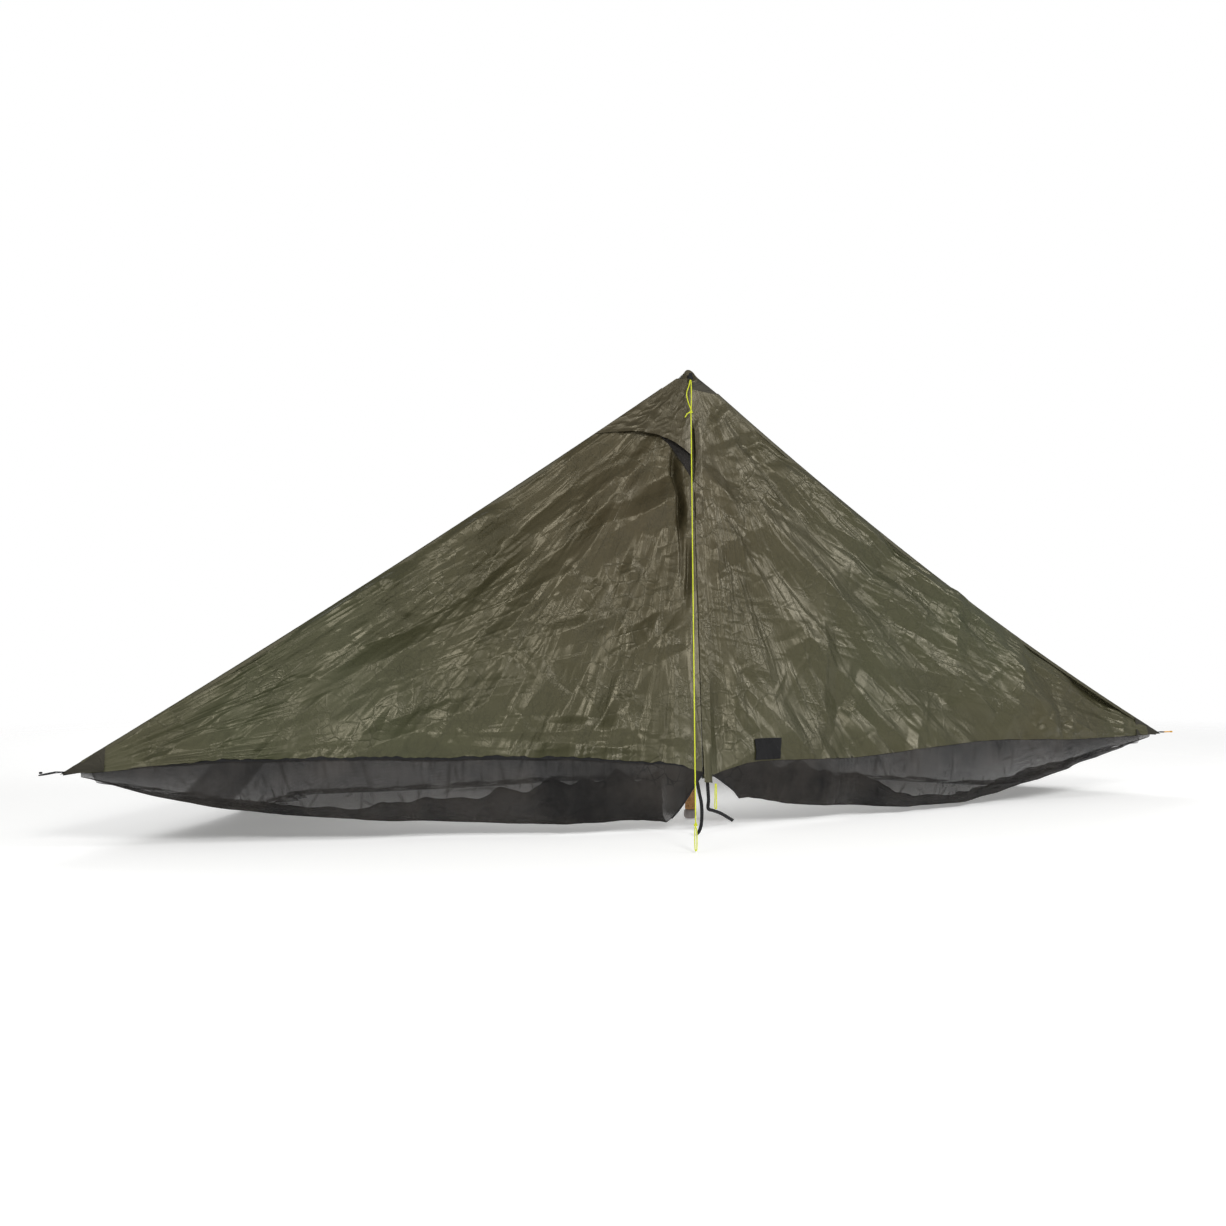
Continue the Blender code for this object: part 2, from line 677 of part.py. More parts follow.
def peak_vent():
    """The vent's netting and, standing off it, the hood that shades it."""
    low_cap = PEAK_HEIGHT - (PEAK_HEIGHT - CORNER_HEIGHT) * (CAP_SHARE + JOIN)
    normal = front_normal("left")

    def mesh_surface(across, down):
        outer = ridge("left", lerp(CAP_SHARE + JOIN, VENT_SHARE, down))
        inner = zip_line(lerp(low_cap, ZIP_TOP_HEIGHT, down))
        outer, inner = drawn_in(outer, inner, SEAM, SEAM)
        return lerp(outer, inner, across) + np.array([0.0, 0.0, SEAM * down]) + vent_foot(across) * down

    def hood_surface(across, down):
        down = down * (1.0 - HOOD_ARC * arch(across))
        outer = ridge("left", lerp(CAP_SHARE + JOIN, HOOD_SHARE, down))
        inner = zip_line(lerp(low_cap, HOOD_FOOT_HEIGHT, down))
        outer, inner = drawn_in(outer, inner, SEAM, SEAM)
        return lerp(outer, inner, across) + normal * (HOOD_STAND + HOOD_LIFT * arch(across) * down**1.5)

    cloth("vent_netting", mesh_surface, 3, 6, NET_BLACK, NET)
    cloth("vent_hood", hood_surface, 8, 6, OLIVE)


def flap_surface(top_height, foot_height, top_slant=0.0, foot_slant=0.0):
    """A strip in front of the zip: down runs from top to foot, across from its seam to its free edge.

    A slant is the drop of that end from the free edge to the seam.
    """
    across_door = unit(CORNERS["right"] - ZIP_FOOT)
    normal = front_normal("right")

    def surface(across, down):
        height = lerp(top_height, foot_height, down) - lerp(top_slant, foot_slant, down) * (1.0 - across)
        place = zip_line(height)
        stand = FLAP_STAND + FLAP_RISE * across
        return place + across_door * (ZIP_GAP + FLAP_WIDTH * (1.0 - across)) + normal * stand

    return surface


def flap_slant():
    """How much lower the door's fold line is at the flap's seam than at its free edge."""
    across_door = unit(CORNERS["right"] - ZIP_FOOT)
    fold = unit(CORNERS["right"] - ZIP_TOP)
    square = unit(across_door - ZIP_UP * np.dot(across_door, ZIP_UP))
    reach = FLAP_WIDTH * np.dot(across_door, square) / np.dot(fold, square)
    drop = FLAP_WIDTH * np.dot(across_door, ZIP_UP) - reach * np.dot(fold, ZIP_UP)
    return float(drop * ZIP_UP[2])


def storm_flap():
    """The flap that folds, cut off short of the door's fold line, and its fixed upper end."""
    slant = flap_slant()
    top = ZIP_TOP_HEIGHT - FLAP_JOINT - FLAP_CORNER
    foot = ZIP_FOOT_HEIGHT - (FLAP_END - 1.0) * ZIP_LENGTH
    surface = flap_surface(top, foot, top_slant=slant - FLAP_CORNER)
    flap = cloth("storm_flap", surface, 2, 10, OLIVE)
    set_origin(flap, surface(0.0, 0.0))
    upper_top = PEAK_HEIGHT - (PEAK_HEIGHT - CORNER_HEIGHT) * FLAP_TOP_SHARE
    upper_foot = ZIP_TOP_HEIGHT + FLAP_JOINT + FLAP_CLEAR
    upper = flap_surface(upper_top, upper_foot, foot_slant=slant + FLAP_CLEAR)
    cloth("upper_storm_flap", upper, 2, 4, OLIVE)


def corner_patch(name, corner, inner):
    """A patch folded over a corner: from the points of its inner edge it narrows to the corner."""
    tip = CORNERS[corner]
    places = np.linspace(0.0, 1.0, len(inner))

    def surface(across, down):
        edge = between(across, places, inner)
        return lerp(edge, tip, lerp(PATCH_GAP, PATCH_TIP, down))

    return cloth(name, surface, 2 * (len(inner) - 1), 3, DARK_PATCH)


def corner_patches():
    order = ("left", "rear_left", "rear_mid", "rear_right", "right")
    for index, corner in enumerate(order):
        inner = []
        if index > 0:
            inner.append(held_hem(order[index - 1], corner, 1.0 - PATCH_SHARE))
        else:
            inner += [front_hem(corner, 1.0 - PATCH_SHARE), fold_line(corner, 1.0 - PATCH_SHARE)]
        inner.append(ridge(corner, 1.0 - PATCH_SHARE))
        if index < len(order) - 1:
            inner.append(held_hem(corner, order[index + 1], PATCH_SHARE))
        else:
            inner += [fold_line(corner, 1.0 - PATCH_SHARE), front_hem(corner, 1.0 - PATCH_SHARE)]
        corner_patch(f"{corner}_patch", corner, inner)


def stadium(length, width, segments=6):
    """Points round a slot-shaped ring: two straights with half-round ends, starting at its near end."""
    radius = width / 2
    turns = np.linspace(-math.pi / 2, math.pi / 2, segments + 1)
    far = [(length - radius + radius * math.cos(turn), radius * math.sin(turn)) for turn in turns]
    near = [(radius - radius * math.cos(turn), -radius * math.sin(turn)) for turn in turns]
    return far + near


def webbing_loop(name, place, out):
    """A folded webbing loop that starts at place and points out, with the line across it."""
    side = unit(np.cross(out, np.array([0.0, 0.0, 1.0])))
    up = np.cross(side, out)
    ring = stadium(TAB_LENGTH, TAB_HEIGHT)
    ring.append(ring[0])
    steps = np.linspace(0.0, 1.0, len(ring))

    def surface(across, down):
        along = np.interp(across, steps, [point[0] for point in ring])
        height = np.interp(across, steps, [point[1] for point in ring])
        return place + out * along + up * height + side * TAB_WIDTH * (down - 0.5)

    return cloth(name, surface, len(ring) - 1, 1, BLACK, TAB_WALL, ring=True)


def cord_ring(name, place, out, length, width, colour):
    """A long closed loop of cord that starts at place and points out."""
    side = unit(np.cross(out, np.array([0.0, 0.0, 1.0])))
    points = [place + out * along + side * across for along, across in stadium(length, width)]
    return wire(name, points, CORD / 2, colour, closed=True)


def tie_outs():
    """At each corner a webbing loop, sewn to the patch, and a loop of cord through it."""
    inner_end = TAB_LENGTH - TAB_WALL - CORD / 2 - LOOP_PLAY
    for corner, place in CORNERS.items():
        out = unit(place * np.array([1.0, 1.0, 0.0]))
        start = lerp(ridge(corner, 1.0 - PATCH_SHARE), place, PATCH_TIP) - out * TAB_SEWN
        start = start + np.array([0.0, 0.0, TAB_RAISE])
        patch = bpy.data.objects[f"{corner}_patch"]
        sewn_on(patch, webbing_loop(f"{corner}_webbing", start, out))
        colour = {"left": BLACK, "right": AMBER}.get(corner, YELLOW)
        cord_ring(f"{corner}_cord_loop", start + out * inner_end, out, LOOP_LENGTH, LOOP_WIDTH, colour)


def pull_out_tabs():
    """Small tabs sewn on the end panels, with which the wind side can be guyed."""
    for name, first, second in (("left", "left", "rear_left"), ("right", "rear_right", "right")):
        normal = outward(first, second)
        centre = held_point(first, second, 0.5, PULL_OUT_SHARE)
        lower = unit(held_point(first, second, 0.5, PULL_OUT_SHARE + 0.01) - centre)

        def surface(across, down):
            width = PULL_OUT_SIZE * (1.0 - PULL_OUT_TAPER * down)
            side = np.cross(normal, lower)
            return centre + normal * (PULL_OUT_STAND + PULL_OUT_SIZE * down) + side * width * (across - 0.5)

        cloth(f"{name}_pull_out_tab", surface, 2, 2, BLACK, TAB_WALL)


def label_patch():
    """The bare patch sewn near the foot of the right door."""
    side = "right"
    reach = float(np.linalg.norm(CORNERS[side] - ZIP_FOOT))
    height = float(np.linalg.norm(fold_line(side, LABEL_PLACE) - front_hem(side, LABEL_PLACE)))

    def surface(across, down):
        share = LABEL_PLACE + LABEL_WIDTH * (across - 0.5) / reach
        place = 1.0 - (LABEL_UP + LABEL_HEIGHT * (1.0 - down)) / height
        return door_point(side, share, place, SEAM, HEM_TAPE + JOIN, LABEL_STAND)

    cloth("label_patch", surface, 4, 3, BLACK)


def ribbon(name, points, width, facing):
    """A flat ribbon of this width along the points, with its flat side turned this way."""
    steps = np.linspace(0.0, 1.0, len(points))
    sides = [unit(np.cross(run, facing)) for run in np.gradient(np.array(points), axis=0)]

    def surface(side, down):
        return between(down, steps, points) + between(down, steps, sides) * width * (side - 0.5)

    cloth(name, surface, 1, len(points) - 1, BLACK)


def smooth_route(points, count):
    """Points spaced evenly on a smooth curve through the route's own points."""
    points = [Vector(point) for point in points]
    ends = [points[0] * 2 - points[1], *points, points[-1] * 2 - points[-2]]
    route = []
    for index in range(count):
        place = (len(points) - 1) * index / (count - 1)
        leg = min(int(place), len(points) - 2)
        share = place - leg
        before, start, end, after = ends[leg : leg + 4]
        bend = start * 2 + (end - before) * share
        bend += (before * 2 - start * 5 + end * 4 - after) * share**2
        bend += (start * 3 - before - end * 3 + after) * share**3
        route.append(bend * 0.5)
    return route


def door_trim():
    """The two ribbon ties and the cord pull at the doors' foot."""
    across = front_point(0.0, 1.0, 0.0)
    for side, route in (("left", LEFT_RIBBON), ("right", RIGHT_RIBBON)):
        points = [front_point(*place) for place in route]
        ribbon(f"{side}_ribbon_tie", smooth_route(points, RIBBON_STEPS), RIBBON_WIDTH, front_point(1.0, 0.0, 0.0))
    top, loop = front_point(*PULL_LOOP_TOP), stadium(PULL_LOOP_LENGTH, PULL_LOOP_WIDTH)
    pull = [top + across * shift - np.array([0.0, 0.0, drop]) for drop, shift in loop]
    wire("door_pull_loop", pull, PULL_LOOP_CORD / 2, YELLOW, closed=True)


def guyline():
    """The front guyline: a loop through the peak's webbing, a knot, the taut line and the ground loop."""
    top = front_point(GUY_TOP_OUT, 0.0, GUY_TOP)
    end = front_point(GUY_REACH, GUY_ACROSS, CORD / 2)
    down = unit(end - top)
    side = front_point(0.0, 1.0, 0.0)
    webbing_loop("peak_webbing", top - down * TAB_LENGTH, down)
    start = top - down * (TAB_WALL + CORD / 2 + LOOP_PLAY)
    cord_ring("guyline_peak_loop", start, down, GUY_LOOP, LOOP_WIDTH, YELLOW)
    clearance = KNOT_RADIUS + TUBE_FIT
    knot_place = start + down * (GUY_LOOP + CORD / 2 + clearance)
    tail = [knot_place, *(knot_place + down * along - side * away for along, away in GUY_TAIL)]
    peak_knot = knot("guyline_knot", knot_place, YELLOW)
    sewn_on(peak_knot, wire("guyline_tail", smooth_route(tail, 6), CORD / 2, YELLOW))
    ground_place = end - down * STAKE_LOOP
    first = knot_place + down * clearance
    last = ground_place - down * clearance
    shares = np.linspace(0.0, 1.0, 24)
    route = [lerp(first, last, share) - np.array([0.0, 0.0, GUY_SAG * arch(share)]) for share in shares]
    wire("guyline", route, CORD / 2, YELLOW)
    ground_knot = knot("guyline_ground_loop", ground_place, YELLOW)
    ring_start, ring_length = ground_place + down * CORD, STAKE_LOOP - CORD
    sewn_on(ground_knot, cord_ring("ground_ring", ring_start, down, ring_length, STAKE_LOOP_WIDTH, YELLOW))


def cutter(name, radius, low, high, place):
    """A hidden cylinder that cuts a pin's hole."""
    shape = bmesh.new()
    bmesh.ops.create_cone(shape, cap_ends=True, segments=16, radius1=radius, radius2=radius, depth=high - low)
    mesh = bpy.data.meshes.new(name)
    shape.to_mesh(mesh)
    shape.free()
    thing = bpy.data.objects.new(name, mesh)
    thing.location = (place[0], place[1], (high + low) / 2)
    thing.hide_render = True
    thing.display_type = "WIRE"
    CUTTERS.objects.link(thing)
    return thing


def ear_blank(name, size, place):
    """A hidden block that is joined to a collar as the ear that holds its pin."""
    shape = bmesh.new()
    bmesh.ops.create_cube(shape, size=1.0)
    bmesh.ops.scale(shape, vec=size, verts=shape.verts)
    bmesh.ops.translate(shape, vec=place, verts=shape.verts)
    mesh = bpy.data.meshes.new(name)
    shape.to_mesh(mesh)
    shape.free()
    thing = bpy.data.objects.new(name, mesh)
    thing.hide_render = True
    thing.display_type = "WIRE"
    CUTTERS.objects.link(thing)
    return thing


def lever_clamp(name, tube_radius, height):
    """A lever clamp round a tube's end: a collar with two ears, a pin through them and the lever."""
    bore = tube_radius + TUBE_FIT
    wall = bore + COLLAR_WALL
    half = COLLAR_HEIGHT / 2
    profile = tube_profile(wall, bore, height - half, height + half)
    collar = turned(f"{name}_collar", profile, BLACK, 0.5, closed=True)
    reach = wall + LEVER_CLEAR + LEVER_THICK / 2
    pin_place = (0.0, -reach)
    for sign, label in ((1, "top"), (-1, "foot")):
        place = (0.0, EAR_ROOT - wall - EAR_REACH / 2, height + sign * (half - EAR_THICK / 2))
        boolean(collar, ear_blank(f"{name}_{label}_ear", (EAR_WIDTH, EAR_REACH, EAR_THICK), place), "UNION")
    hole = cutter(f"{name}_pin_hole", PIN_RADIUS + TUBE_FIT, height - 2 * half, height + 2 * half, pin_place)
    boolean(collar, hole, "DIFFERENCE")
    lever_half = half - EAR_THICK - TUBE_FIT

    def surface(across, down):
        turn = LEVER_ARC * across - LEVER_BACK - math.pi / 2
        radius = reach + LEVER_FLARE * max(0.0, across - LEVER_FLARE_FROM) / (1.0 - LEVER_FLARE_FROM)
        return (radius * math.cos(turn), radius * math.sin(turn), height + lever_half * (1.0 - 2.0 * down))

    lever = cloth(f"{name}_lever", surface, 12, 1, GREY, LEVER_THICK, roughness=0.4)
    boolean(lever, hole, "DIFFERENCE")
    set_origin(lever, (*pin_place, height))
    low, high = height - half, height + half
    rod = [(0.0, high), (PIN_RADIUS, high), (PIN_RADIUS, low), (0.0, low)]
    pin = turned(f"{name}_pin", rod, ALLOY, 0.3, 1.0, steps=12)
    pin.location = (*pin_place, 0.0)


def pole_tube(name, radius, foot, top):
    turned(name, tube_profile(radius, radius - TUBE_WALL, foot, top), ALLOY, 0.35, 0.9, closed=True)


def trekking_pole():
    """The pole stands handle down; each tube slides over the next thinner one above it."""
    upper, middle, lower = TUBE_RADII
    turned("grip_cap", CAP_PROFILE, GREY, 0.55)
    grip_foot = CAP_HEIGHT + TUBE_FIT
    bore = upper + TUBE_FIT
    grip = [(bore, GRIP_TOP), *GRIP_PROFILE, (GRIP_FOOT_RADIUS, grip_foot), (bore, grip_foot)]
    turned("cork_grip", grip, CORK, 0.8, closed=True)
    pole_tube("pole_upper_tube", upper, grip_foot, UPPER_TUBE_TOP)
    pole_tube("pole_middle_tube", middle, MIDDLE_TUBE_FOOT, MIDDLE_TUBE_TOP)
    pole_tube("pole_lower_tube", lower, LOWER_TUBE_FOOT, LOWER_TUBE_TOP)
    tip_foot = LOWER_TUBE_TOP + TUBE_FIT
    stub = lower - TUBE_WALL - TUBE_FIT
    shoulder, depth = TIP_SHOULDER
    profile = [
        (0.0, POLE_TOP),
        (TIP_POINT_RADIUS, POLE_TOP),
        (TIP_RADIUS, POLE_TOP - TIP_POINT),
        (TIP_RADIUS, GROMMET_HEIGHT - TIP_PIN),
        (shoulder, GROMMET_HEIGHT - depth),
        (lower, tip_foot + TIP_SLEEVE),
        (lower, tip_foot),
        (stub, tip_foot),
        (stub, tip_foot - TIP_STUB),
        (0.0, tip_foot - TIP_STUB),
    ]
    set_origin(turned("pole_tip", profile, GREY, 0.5), (0.0, 0.0, GROMMET_HEIGHT))
    lever_clamp("upper_clamp", upper, UPPER_TUBE_TOP - COLLAR_OVER)
    lever_clamp("middle_clamp", middle, MIDDLE_TUBE_TOP - COLLAR_OVER)


def zip_frame(height):
    """Point and axes on the zip at this height: up the zip, across the right door, out of it."""
    across = unit(CORNERS["right"] - ZIP_FOOT)
    across = unit(across - ZIP_UP * np.dot(across, ZIP_UP))
    out = np.cross(across, ZIP_UP)
    out = out if out[1] < 0 else -out
    return zip_line(height), ZIP_UP, across, out


def zip_slider():
    """The slider grips the edge of the right tape; its pull hangs on the inner side."""
    origin, up, across, out = zip_frame(ZIP_FOOT_HEIGHT + SLIDER_UP)
    near, far = SLIDER_STAND, SLIDER_STAND + SLIDER_PLATE
    edge, width = SLIDER_BRIDGE / 2, SLIDER_WIDTH
    outline = [(-edge, -far), (width, -far), (width, -near), (edge, -near)]
    outline += [(x, -y) for x, y in reversed(outline)]
    curve = bpy.data.curves.new("zip_slider", "CURVE")
    curve.dimensions = "2D"
    curve.fill_mode = "BOTH"
    curve.extrude = SLIDER_LENGTH / 2
    spline = curve.splines.new("POLY")
    spline.points.add(len(outline) - 1)
    for place, (x, y) in zip(spline.points, outline):
        place.co = (x, y, 0.0, 1.0)
    spline.use_cyclic_u = True
    slider = add_object("zip_slider", curve, BLACK, 0.4)
    frame = Matrix([[across[i], out[i], up[i], origin[i]] for i in range(3)] + [[0, 0, 0, 1]])
    slider.matrix_world = frame
    hinge = origin + across * (width / 2) - out * (far + PULL_STAND + PULL_THICK / 2) + up * PULL_UP
    hang = unit(np.cross(across, np.array([0.0, 1.0, 0.0])))
    hang = hang if hang[2] < 0 else -hang

    def surface(side, down):
        width_here = PULL_WIDTH * (1.0 - PULL_TAPER * down)
        return hinge + across * width_here * (side - 0.5) + hang * PULL_LENGTH * down

    pull = cloth("zip_pull", surface, 2, 3, GREY, PULL_THICK)
    set_origin(pull, hinge)


def canopy():
    held_panel("left_end_panel", "left", "rear_left")
    held_panel("rear_left_panel", "rear_left", "rear_mid")
    held_panel("rear_right_panel", "rear_mid", "rear_right")
    held_panel("right_end_panel", "rear_right", "right")
    for name, first, second in (
        ("left_end", "left", "rear_left"),
        ("rear_left", "rear_left", "rear_mid"),
        ("rear_right", "rear_mid", "rear_right"),
        ("right_end", "rear_right", "right"),
    ):
        held_net(f"{name}_netting", first, second)
    perimeter_hem_tape()
    left_upper_front_panel()
    right_upper_front_panel()
    peak_cap()
    peak_grommet()
    peak_vent()
    corner_patches()
    tie_outs()
    pull_out_tabs()


def doors():
    for side in ("left", "right"):
        door_panel(f"{side}_door_panel", side)
        door_hem_tape(f"{side}_door_hem_tape", side)
        zip_tape(f"{side}_zip_tape", side)
        door_net(f"{side}_door_netting", side)
        for piece in ("door_panel", "door_hem_tape", "zip_tape", "door_netting"):
            set_origin(bpy.data.objects[f"{side}_{piece}"], ZIP_TOP)
    storm_flap()
    label_patch()
    door_trim()
    zip_slider()


clear_scene()
PARTS = make_collection("camping_tarp")
CUTTERS = make_collection("cutters")
canopy()
doors()
guyline()
trekking_pole()
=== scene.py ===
"""Looks of a one-person pyramid tarp with an insect-netting skirt, pitched on one trekking pole.

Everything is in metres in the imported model's frame: the origin is on the ground under the pole, +Z is up,
the doors are on the -Y side and the long ridge runs along X. Each piece rides on the CAD body that carries
it, and stands for the CAD nodes that it replaces.
"""

import logging
import math
from dataclasses import dataclass
from enum import Enum
from typing import Callable, Sequence

import bmesh
import bpy
import numpy as np
from mathutils import Matrix

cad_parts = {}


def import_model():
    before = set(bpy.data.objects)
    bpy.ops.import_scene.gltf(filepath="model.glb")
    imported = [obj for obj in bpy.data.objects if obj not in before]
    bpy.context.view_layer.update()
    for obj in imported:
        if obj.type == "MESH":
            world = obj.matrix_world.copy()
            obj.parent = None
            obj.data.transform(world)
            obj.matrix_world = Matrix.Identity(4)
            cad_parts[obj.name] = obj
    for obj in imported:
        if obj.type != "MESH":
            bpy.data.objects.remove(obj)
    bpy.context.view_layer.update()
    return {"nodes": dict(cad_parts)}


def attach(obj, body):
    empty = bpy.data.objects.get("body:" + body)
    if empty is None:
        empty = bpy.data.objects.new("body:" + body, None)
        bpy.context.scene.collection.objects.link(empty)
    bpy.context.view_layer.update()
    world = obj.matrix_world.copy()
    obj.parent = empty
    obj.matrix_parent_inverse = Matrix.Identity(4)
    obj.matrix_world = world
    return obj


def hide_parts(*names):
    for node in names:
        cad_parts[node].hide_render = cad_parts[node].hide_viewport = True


LOG = logging.getLogger("camping_tarp")
Array = np.ndarray
Table = Sequence[tuple[float, float]]
Thing = bpy.types.Object
Material = bpy.types.Material
Socket = bpy.types.NodeSocket


class Body(str, Enum):
    """The CAD bodies that pieces ride on."""

    CANOPY = "canopy"
    LEFT_DOOR = "left_door"
    RIGHT_DOOR = "right_door"
    FLAP = "storm_flap"
    POLE_LOWER = "pole_lower"
    POLE_MIDDLE = "pole_middle"
    POLE_UPPER = "pole_upper"


@dataclass(frozen=True)
class Pitch:
    """Where the cloth is held, as in the CAD part."""

    peak: float = 1.257
    side: float = 1.675
    rear: float = 1.05
    rear_half: float = 0.95
    rear_mid: float = 1.18
    corner: float = 0.186
    bearing: float = math.radians(23.0)
    zip_top: float = 0.930
    zip_out: float = 0.270
    zip_across: float = 0.021
    zip_foot: float = 0.134
    sag_left: float = 0.017
    sag_right: float = 0.050
    sag_rear: float = 0.025
    panel_sag: float = 0.030
    hem_rise: float = 0.022
    hem_bow: float = 0.035


@dataclass(frozen=True)
class Cloth:
    """Seams, hems, trim and netting of the cloth.

    cap_share, patch_share, vent_share, hood_top and hood_share are shares of a ridge, label_place is
    one of the hem and hood_arc one of the hood. The rest are metres.
    """

    hem_tape: float = 0.015
    seam: float = 0.011
    webbing: float = 0.010
    webbing_wall: float = 0.0012
    ribbon: float = 0.009
    ribbon_wall: float = 0.0008
    flap: float = 0.027
    label_width: float = 0.080
    label_height: float = 0.057
    label_wall: float = 0.0012
    label_place: float = 0.116
    cap_share: float = 0.052
    patch_share: float = 0.060
    vent_share: float = 0.156
    hood_top: float = 0.026
    hood_share: float = 0.172
    hood_foot: float = 1.005
    hood_lift: float = 0.018
    hood_arc: float = 0.16
    vent_bow: float = 0.070
    net_seam: float = 0.014
    net_tuck: float = 0.050
    net_bunch: float = 0.070
    net_full: float = 0.120
    net_least: float = 0.012


@dataclass(frozen=True)
class Cords:
    """Diameters of the cords and the radius of a cord's knot."""

    guyline: float = 0.0030
    loop: float = 0.0028
    pull: float = 0.0029
    loop_knot: float = 0.0036
    guyline_knot: float = 0.0040


@dataclass(frozen=True)
class Relief:
    """Heights, in metres, to which the front cloth stands out of its flat plane."""

    swell: float = 0.0110
    pull: float = 0.0040
    ray: float = 0.0024
    roll: float = 0.0085
    band: float = 0.0080
    fold: float = 0.0090


PITCH = Pitch()
CLOTH = Cloth()
CORDS = Cords()
RELIEF = Relief()
UP = np.array([0.0, 0.0, 1.0])
LEVEL = np.array([1.0, 1.0, 0.0])
# Height of each door's hem, at shares of the way from the zip to the corner.
HEMS = {
    "left": ((0.0, 0.152), (0.06, 0.172), (0.17, 0.185), (0.36, 0.200), (0.75, 0.206), (1.0, 0.186)),
    "right": (
        (0.0, 0.132), (0.08, 0.176), (0.21, 0.168), (0.32, 0.170), (0.60, 0.199), (0.74, 0.182), (1.0, 0.186),
    ),
}
# Height of the lowest line of each door's netting, at the same shares.
NETS = {
    "left": (
        (0.0, 0.012), (0.054, 0.016), (0.070, 0.030), (0.27, 0.026), (0.52, 0.047), (0.72, 0.077),
        (0.83, 0.111), (0.90, 0.146), (0.95, 0.168), (0.98, 0.190),
    ),
    "right": (
        (0.0, 0.075), (0.076, 0.072), (0.092, 0.084), (0.155, 0.050), (0.40, 0.016), (0.57, 0.012),
        (0.68, 0.058), (0.79, 0.106), (0.90, 0.146), (0.95, 0.168), (0.98, 0.190),
    ),
}
# Least height of the end panels' netting, at shares of the way from the side corner to the rear one.
END_NETS = {
    "left": (
        (0.0, 0.174), (0.10, 0.154), (0.20, 0.125), (0.30, 0.097), (0.40, 0.066), (0.50, 0.037),
        (0.60, 0.012), (0.66, 0.0), (1.0, 0.0),
    ),
    "right": ((0.0, 0.160), (0.10, 0.148), (0.20, 0.067), (0.34, 0.0), (1.0, 0.0)),
}
# Share of the netting's drop that its heaped layer reaches, along each door's hem.
HEAPS = {
    "left": (
        (0.0, 0.02), (0.03, 0.06), (0.065, 0.80), (0.10, 0.78), (0.23, 0.62), (0.38, 0.36), (0.49, 0.30),
        (0.57, 0.13), (0.74, 0.18), (0.85, 0.10), (1.0, 0.08),
    ),
    "right": (
        (0.0, 0.60), (0.05, 0.95), (0.18, 0.88), (0.33, 0.56), (0.40, 0.28), (0.44, 0.14), (0.60, 0.10),
        (0.72, 0.25), (0.85, 0.12), (1.0, 0.08),
    ),
}
# Offsets in share and weights of the points that a smoothed height is the mean of.
SMOOTHING = ((-0.05, 0.1), (-0.025, 0.2), (0.0, 0.4), (0.025, 0.2), (0.05, 0.1))

PEAK = np.array([0.0, 0.0, PITCH.peak])
CORNERS: dict[str, Array] = {
    "left": np.array([-PITCH.side, 0.0, PITCH.corner]),
    "rear_left": np.array([-PITCH.rear_half, PITCH.rear, PITCH.corner]),
    "rear_mid": np.array([0.0, PITCH.rear_mid, PITCH.corner]),
    "rear_right": np.array([PITCH.rear_half, PITCH.rear, PITCH.corner]),
    "right": np.array([PITCH.side, 0.0, PITCH.corner]),
}
ORDER = tuple(CORNERS)


def column(values: Array) -> Array:
    """Values with one more axis, so that they multiply points."""
    return np.asarray(values, dtype=float)[..., None]


def lerp(start: Array, end: Array, share: Array) -> Array:
    """Points between start and end.

    Args:
        start, end: one point, or as many points as there are shares.
        share: 0 at start and 1 at end.
    Returns:
        start + (end - start) * share, for each share.
    """
    return start + (end - start) * column(share)


def unit(vector: Array) -> Array:
    """The vector or vectors at length 1."""
    return vector / np.linalg.norm(vector, axis=-1, keepdims=True)


def arch(share: Array) -> Array:
    """4 s (1 - s): 0 at both ends and 1 in the middle."""
    return 4.0 * share * (1.0 - share)


def smoothstep(low: float, high: float, value: Array) -> Array:
    """0 below low and 1 above high, along 3 t^2 - 2 t^3 between them."""
    step = np.clip((value - low) / (high - low), 0.0, 1.0)
    return step * step * (3.0 - 2.0 * step)


def front_point(out: float, across: float, height: float) -> Array:
    """A point by its reach along the front pull, its distance to the right of it and its height."""
    sine, cosine = math.sin(PITCH.bearing), math.cos(PITCH.bearing)
    return np.array([-sine * out + cosine * across, -cosine * out - sine * across, height])


ZIP_FOOT = front_point(PITCH.zip_out, PITCH.zip_across, PITCH.zip_foot)
ZIP_TOP = PEAK + (ZIP_FOOT - PEAK) * (PITCH.peak - PITCH.zip_top) / (PITCH.peak - PITCH.zip_foot)
ZIP_UP = unit(ZIP_TOP - ZIP_FOOT)
FRONT_ACROSS = front_point(0.0, 1.0, 0.0)


def table_line(table: Table, share: Array) -> Array:
    """The height at each share, on a smoothed line through the listed heights."""
    places, heights = zip(*table)
    return sum(weight * np.interp(share + offset, places, heights) for offset, weight in SMOOTHING)


def ridge(corner: str, share: Array) -> Array:
    """Points of the sagging ridge from the peak to a corner: 4 s (1 - s) times its sag below the chord."""
    sag = {"left": PITCH.sag_left, "right": PITCH.sag_right}.get(corner, PITCH.sag_rear)
    points = lerp(PEAK, CORNERS[corner], share)
    points[..., 2] -= sag * arch(share)
    return points


def ridge_height(share: float) -> float:
    """The height at this share of the straight line from the peak to a corner."""
    return PITCH.peak - (PITCH.peak - PITCH.corner) * share


def zip_line(height: Array) -> Array:
    """Points of the straight line from the peak to the doors' foot at these heights."""
    return lerp(PEAK, ZIP_FOOT, (PITCH.peak - np.asarray(height)) / (PITCH.peak - PITCH.zip_foot))


def held_hem(first: str, second: str, share: Array) -> Array:
    """Points of a held panel's lower edge: it draws in and rises as 4 s (1 - s)."""
    along = CORNERS[second] - CORNERS[first]
    square = unit(np.array([along[1], -along[0], 0.0]))
    square = square if np.dot(square, CORNERS[first] + CORNERS[second]) > 0 else -square
    points = lerp(CORNERS[first], CORNERS[second], share) - square * column(PITCH.hem_bow * arch(share))
    points[..., 2] += PITCH.hem_rise * arch(share)
    return points


